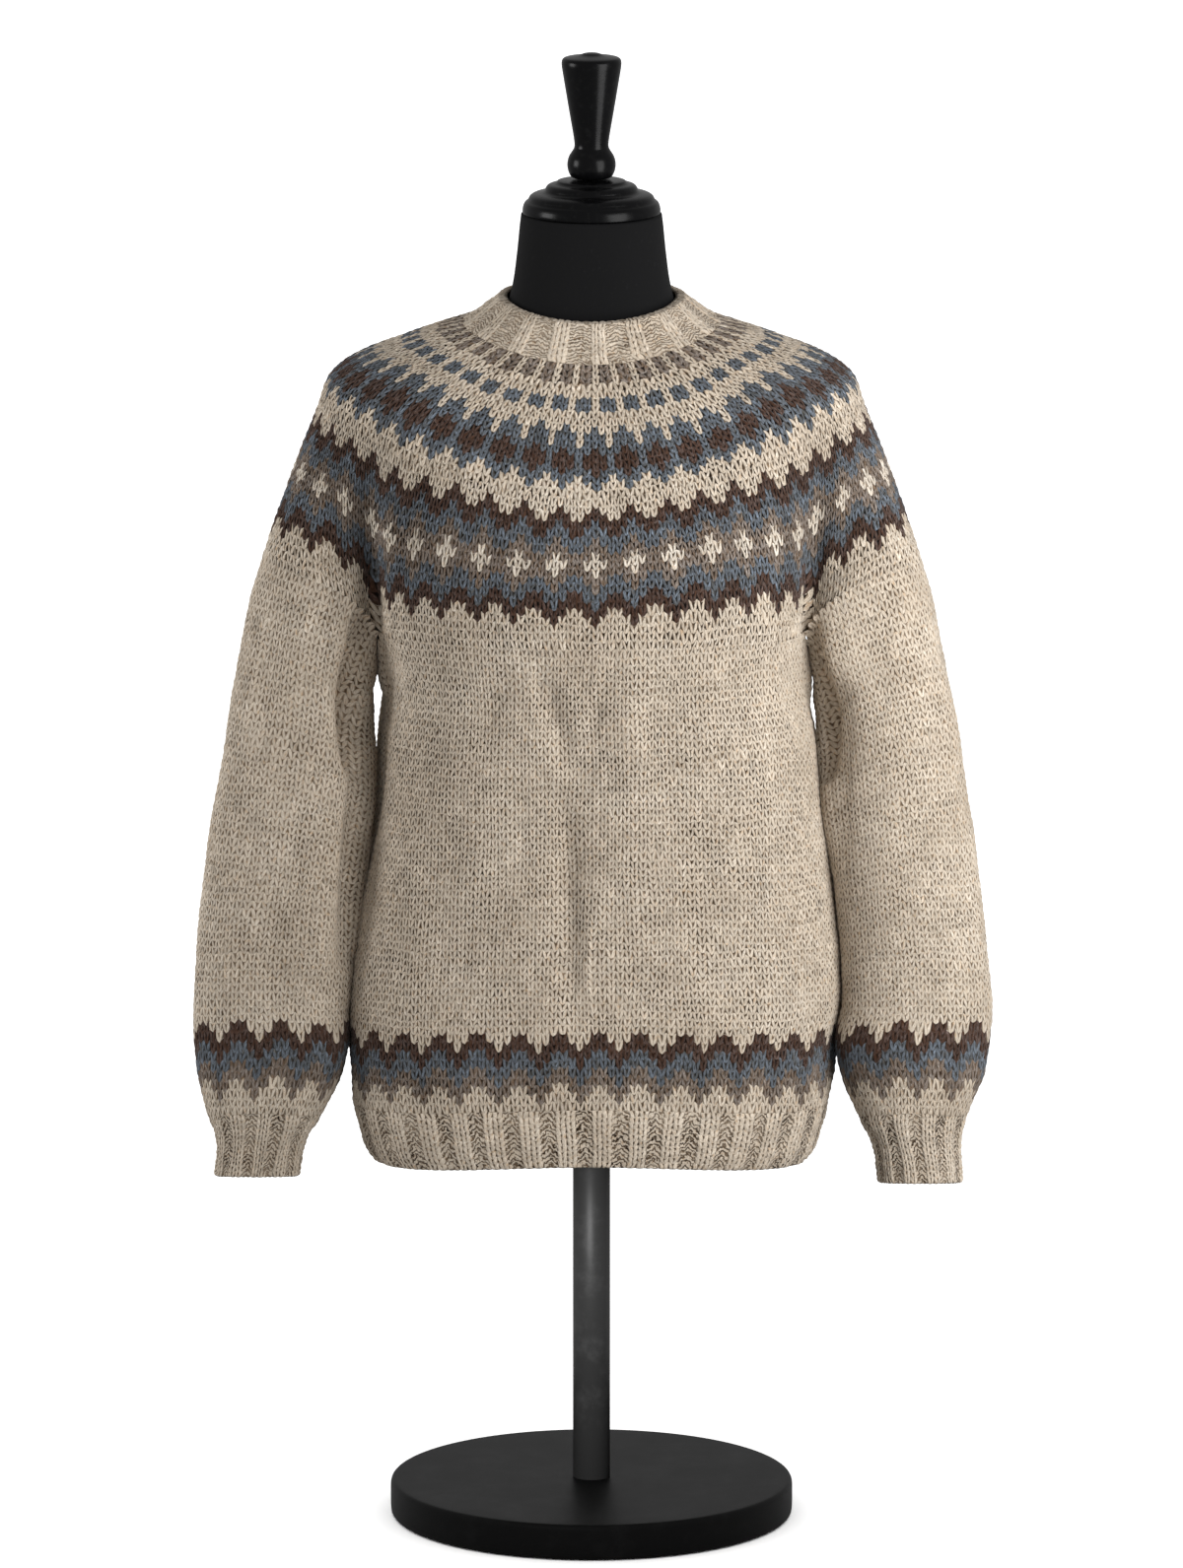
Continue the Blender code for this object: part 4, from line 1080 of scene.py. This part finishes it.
SLEEVE_CREASES = {
    "left": (
        (-3.95, -4.45, 0, 22, 0.32, 21), (-3.6, -4.2, 8, 34, 0.35, 2.5),
        (4.8, 0, 10, 0.7, -2.4), (4.8, 5, 36, 0.6, -4.2), (1.6, 1.1, 2, 36, 0.45, 4.6),
        (3.4, 3.2, 0, 24, 0.45, 6), (-0.3, 0.5, 6, 28, 0.35, 2.4), (2.4, 2.9, 26, 56, 0.4, 3.2),
    ),
    "right": (
        (-3.6, -3.85, 0, 22, 0.42, 24), (-3.95, -4.3, 8, 50, 0.36, 15),
        (4.8, 14, 56, 0.35, -3.6), (4.8, 0, 6, 0.7, -2.2),
        (-1.35, -1.6, 2, 26, 0.3, 4), (1.5, 2, 2, 34, 0.45, 4.6), (3.5, 3.2, 0, 26, 0.45, 6),
        (0.4, -0.4, 8, 30, 0.35, 2.2), (2.6, 2.2, 28, 56, 0.4, 3),
    ),
}
BODY_WAVES = ((1.1, 5, 0.4, 0.7), (2.3, -7, 1.7, 0.6), (0.7, 11, 2.9, 0.55),
              (3.4, 13, 0.9, 0.45), (2.9, 23, 2.2, 0.35))
SLEEVE_WAVES = ((0.9, 9, 0.3, 0.6), (1.6, -15, 2.1, 0.5), (0.4, 24, 1.2, 0.45),
                (2.2, 31, 0.2, 0.35))


def make_body(finish):
    """The body, from the armholes to the hem's rib, with its band above the rib."""
    around, rows = mesh_places(BODY_STITCHES, BODY_ROUNDS, BODY_MESH, 2 * BODY_HALF)
    v = rows / BODY_MESH[1]
    down = np.interp(v, *BODY_BAND)
    base = ripple(body_grid(around, down), around, down, BODY_WAVES)
    base = creased(base, around, v, BODY_CREASES, 2 * BODY_HALF)
    yarns = band_yarns(BODY_ROUNDS, BODY_STITCHES, BODY_BAND[0][1], offset=2, seed=7,
                       skip=SKIPPED)
    return knitted("knit_body", base, BODY_ROUNDS, yarns, finish, seed=501, plain=(1.0, 0.0),
                   reach=(0.3, 0.2))


def make_sleeve(side, finish):
    """A sleeve, from the armhole to the cuff, with its band above the cuff."""
    around, rows = mesh_places(SLEEVE_STITCHES, SLEEVE_ROUNDS, SLEEVE_MESH, SLEEVE_ROUND)
    q, v = around - SLEEVE_ROUND / 2, rows / SLEEVE_MESH[1]
    down = np.interp(v, *SLEEVE_BAND)
    base = ripple(sleeve_grid(q, down, side), q, down, SLEEVE_WAVES)
    base = on_side(creased(base, q, v, SLEEVE_CREASES[side], SLEEVE_ROUND), side)
    offset = 3 if side == "left" else 1
    yarns = band_yarns(SLEEVE_ROUNDS, SLEEVE_STITCHES, SLEEVE_BAND[0][1], offset, 11 + offset)
    return knitted(f"knit_sleeve_{side}", base, SLEEVE_ROUNDS, yarns, finish, seed=601 + offset,
                   plain=(1.0, 0.0), reach=(0.4, 0.2), relief=SLEEVE_RELIEF)


def on_side(grid, side):
    """A +X grid as it is, or mirrored on the -X side, still running the same way round."""
    if side == "left":
        return grid
    return np.roll((grid * [-1.0, 1.0, 1.0])[:, ::-1], 1, axis=1)


def ribbing(name, base, rounds, stitches, finish, seed, part=0.58, edges=(0.0, 1.2),
            reach=(0.2, 0.0), **more):
    """A ribbed band of plain yarn; its two knit stitches take a part of each rib's width."""
    yarns = shades(rounds, stitches, lambda r, k: "o", seed)
    return knitted(name, base, rounds, yarns, finish, seed=700 + seed,
                   gather=(rounds, 4, part), rib=RIB_RISE, edges=edges, reach=reach, **more)


def make_hem(finish):
    """The hem's rib."""
    around, rows = mesh_places(HEM_STITCHES, HEM_ROUNDS, RIB_MESH, 2 * BODY_HALF)
    base = hem_grid(around, rows / rows[-1])
    return ribbing("knit_hem", base, HEM_ROUNDS, HEM_STITCHES, finish, seed=21)


def make_cuff(side, finish):
    """A cuff."""
    around, rows = mesh_places(CUFF_STITCHES, CUFF_ROUNDS, RIB_MESH, SLEEVE_ROUND)
    base = on_side(cuff_grid(around - SLEEVE_ROUND / 2, rows / rows[-1], side), side)
    return ribbing(f"knit_cuff_{side}", base, CUFF_ROUNDS, CUFF_STITCHES, finish, seed=31)


def make_collar(finish):
    """The neckband."""
    s, rows = mesh_places(COLLAR_STITCHES, COLLAR_ROUNDS, COLLAR_MESH, 2 * YOKE_HALF)
    base = oval_grid(NECKBAND_SECTIONS, 1 - rows / rows[-1], s)
    return ribbing("knit_collar", base, COLLAR_ROUNDS, COLLAR_STITCHES, finish, seed=51,
                   part=0.42, edges=(1.8, 0.0), reach=(0.0, 0.8), tilts=(0.0, NECK_TILT), rim=4.5)


def make_torso(finish):
    """The form's torso on a smooth curve through its rings."""
    sides, rings = 160, 150
    s = np.arange(sides) * 2 * YOKE_HALF / sides
    grid = oval_grid(TORSO_SECTIONS, np.linspace(0, len(TORSO_SECTIONS) - 2, rings), s)
    return capped("torso_cover", grid.reshape(-1, 3), rings, sides, (TORSO_TOP, TORSO_END), finish)


# The second number scales the shade painted in the stitches' gaps: the neckband and sleeves take
# less of it, so they read lighter.
rib_knit = wool("oatmeal wool, hem and cuffs", 1.15, 1.2, bars=1.0)
collar_knit = wool("oatmeal wool, neckband", 0.85, 0.9, bars=2.0)
yoke = make_yoke(wool("patterned wool", 1.15, 2.1))
body = make_body(wool("oatmeal wool, body", 1.0, 0.9))
sleeve_knit = wool("oatmeal wool, sleeves", 0.86, 0.8)
sleeves = {side: make_sleeve(side, sleeve_knit) for side in ("left", "right")}
cuffs = {side: make_cuff(side, rib_knit) for side in ("left", "right")}
hem = make_hem(rib_knit)
collar = make_collar(collar_knit)

torso = make_torso(jersey("black jersey"))
painted = lacquer("black lacquer")
cap = revolved("turned_cap", CAP_PROFILE, painted)
finial = revolved("turned_finial", FINIAL_PROFILE, painted)
base = revolved("round_base", BASE_PROFILE, powder_coat("black powder coat, base", 0.006, 0.10),
                sides=192)
POLE_PROFILE = [(radius, z) for z, radii in ((TORSO_END - SEAM, (0.0, POLE_RADIUS)),
                                             (BASE_HEIGHT + SEAM, (POLE_RADIUS, 0.0)))
                for radius in radii]
# The pole's coat is a grey five times lighter than the base's, though both are black metal:
# painted light that brightens the pole.
pole = revolved("stand_pole", POLE_PROFILE, powder_coat("black powder coat, pole", 0.030, 0.24),
                sides=96, rounds=0)

# Each piece stands for its solid and rides with it.
for piece, node, slot in (
        (yoke, "yoke", "patterned_wool"), (body, "body", "oatmeal_wool"),
        (sleeves["left"], "sleeve_left", "oatmeal_wool"),
        (sleeves["right"], "sleeve_right", "oatmeal_wool"),
        (cuffs["left"], "cuff_left", "oatmeal_wool"),
        (cuffs["right"], "cuff_right", "oatmeal_wool"),
        (hem, "hem_rib", "oatmeal_wool"), (collar, "neckband", "oatmeal_wool"),
        (torso, "form_torso", "black_jersey"), (cap, "neck_cap", "black_wood"),
        (finial, "finial", "black_wood"), (pole, "pole", "black_metal"),
        (base, "base", "black_metal")):
    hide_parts(node)
    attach(piece, "root")


# --- floor, light and camera ---
def area_light(name, place, target, sizes, power, lit):
    """A soft oblong light, sizes wide and high, that faces a point and lights the given pieces."""
    light = bpy.data.lights.new(name, "AREA")
    settle(light, shape="RECTANGLE", energy=power, size=sizes[0], size_y=sizes[1])
    x, y, z = np.array(place) - target
    turn = math.atan2(math.hypot(x, y), z), 0.0, math.atan2(x, -y)
    lamp = linked(name, light)
    settle(lamp, visible_camera=False, location=place, rotation_euler=turn)
    lamp.light_linking.receiver_collection = bpy.data.collections.new(name)
    for piece in lit:
        lamp.light_linking.receiver_collection.objects.link(piece)


AMBIENT, SEEN = 0.42, 1.05  # the surrounding white as light, and as the camera sees it
FLOOR_LIT, FLOOR_SEEN = 0.88, 3.6  # the floor's grey for bounced light, and for the camera
FLOOR_REACH = 30
CHEST = (0.0, 0.0, 0.72)  # what key and rim face

worn = [yoke, body, sleeves["left"], cuffs["left"], hem, collar, torso, cap, finial]
shaded = [sleeves["right"], cuffs["right"]]

floor_mesh = bpy.data.meshes.new("studio_floor")
corners = [(x * FLOOR_REACH, y * FLOOR_REACH, 0) for x, y in ((-1, -1), (1, -1), (1, 1), (-1, 1))]
floor_mesh.from_pydata(corners, [], [(0, 1, 2, 3)])
floor = linked("studio_floor", floor_mesh)
white = Finish("studio white")
straight = white.add("ShaderNodeLightPath", {})
paint = white.blended(straight, (FLOOR_LIT,) * 3, (FLOOR_SEEN,) * 3)
white.feed(white.tree.nodes["Material Output"].inputs["Surface"],
           white.add("ShaderNodeBsdfDiffuse", {}, (paint,)))
floor_mesh.materials.append(white.made)

bpy.context.scene.view_settings.view_transform = "Standard"
studio = Finish("studio", bpy.data.worlds, "Background")
strength = studio.add("ShaderNodeMapRange", {}, {"Value": studio.add("ShaderNodeLightPath", {}),
                                                 "To Min": AMBIENT, "To Max": SEEN})
bpy.context.scene.world = studio.set(Color=(1.0, 1.0, 1.0), Strength=strength)
# The sleeve at -X gets less of the key. Two more lights are for the stand.
for power, lit in ((18.8, worn), (14.2, shaded)):
    area_light("key", (0.88, -0.89, 1.0), CHEST, (0.7, 1.3), power, lit)
area_light("rim", (-3.0, -0.6, 1.4), CHEST, (1.2, 1.2), 44.0, worn + shaded)
area_light("stand light", (-1.6, -5.0, 2.0), (0.0, 0.0, 0.2), (1.0, 1.0), 12.0, [base, pole])
area_light("pole light", (-0.7, -4.0, 0.9), (0.0, 0.0, 0.3), (0.4, 0.8), 180.0, [pole])

camera = linked("camera", bpy.data.cameras.new("camera"))
settle(camera, location=(0.0, -10.70, 2.7155), rotation_euler=(math.radians(78.86), 0.0, 0.0))
settle(camera.data, sensor_fit="HORIZONTAL", sensor_width=36.0, lens=408.9, clip_end=100.0)
bpy.context.scene.camera = camera
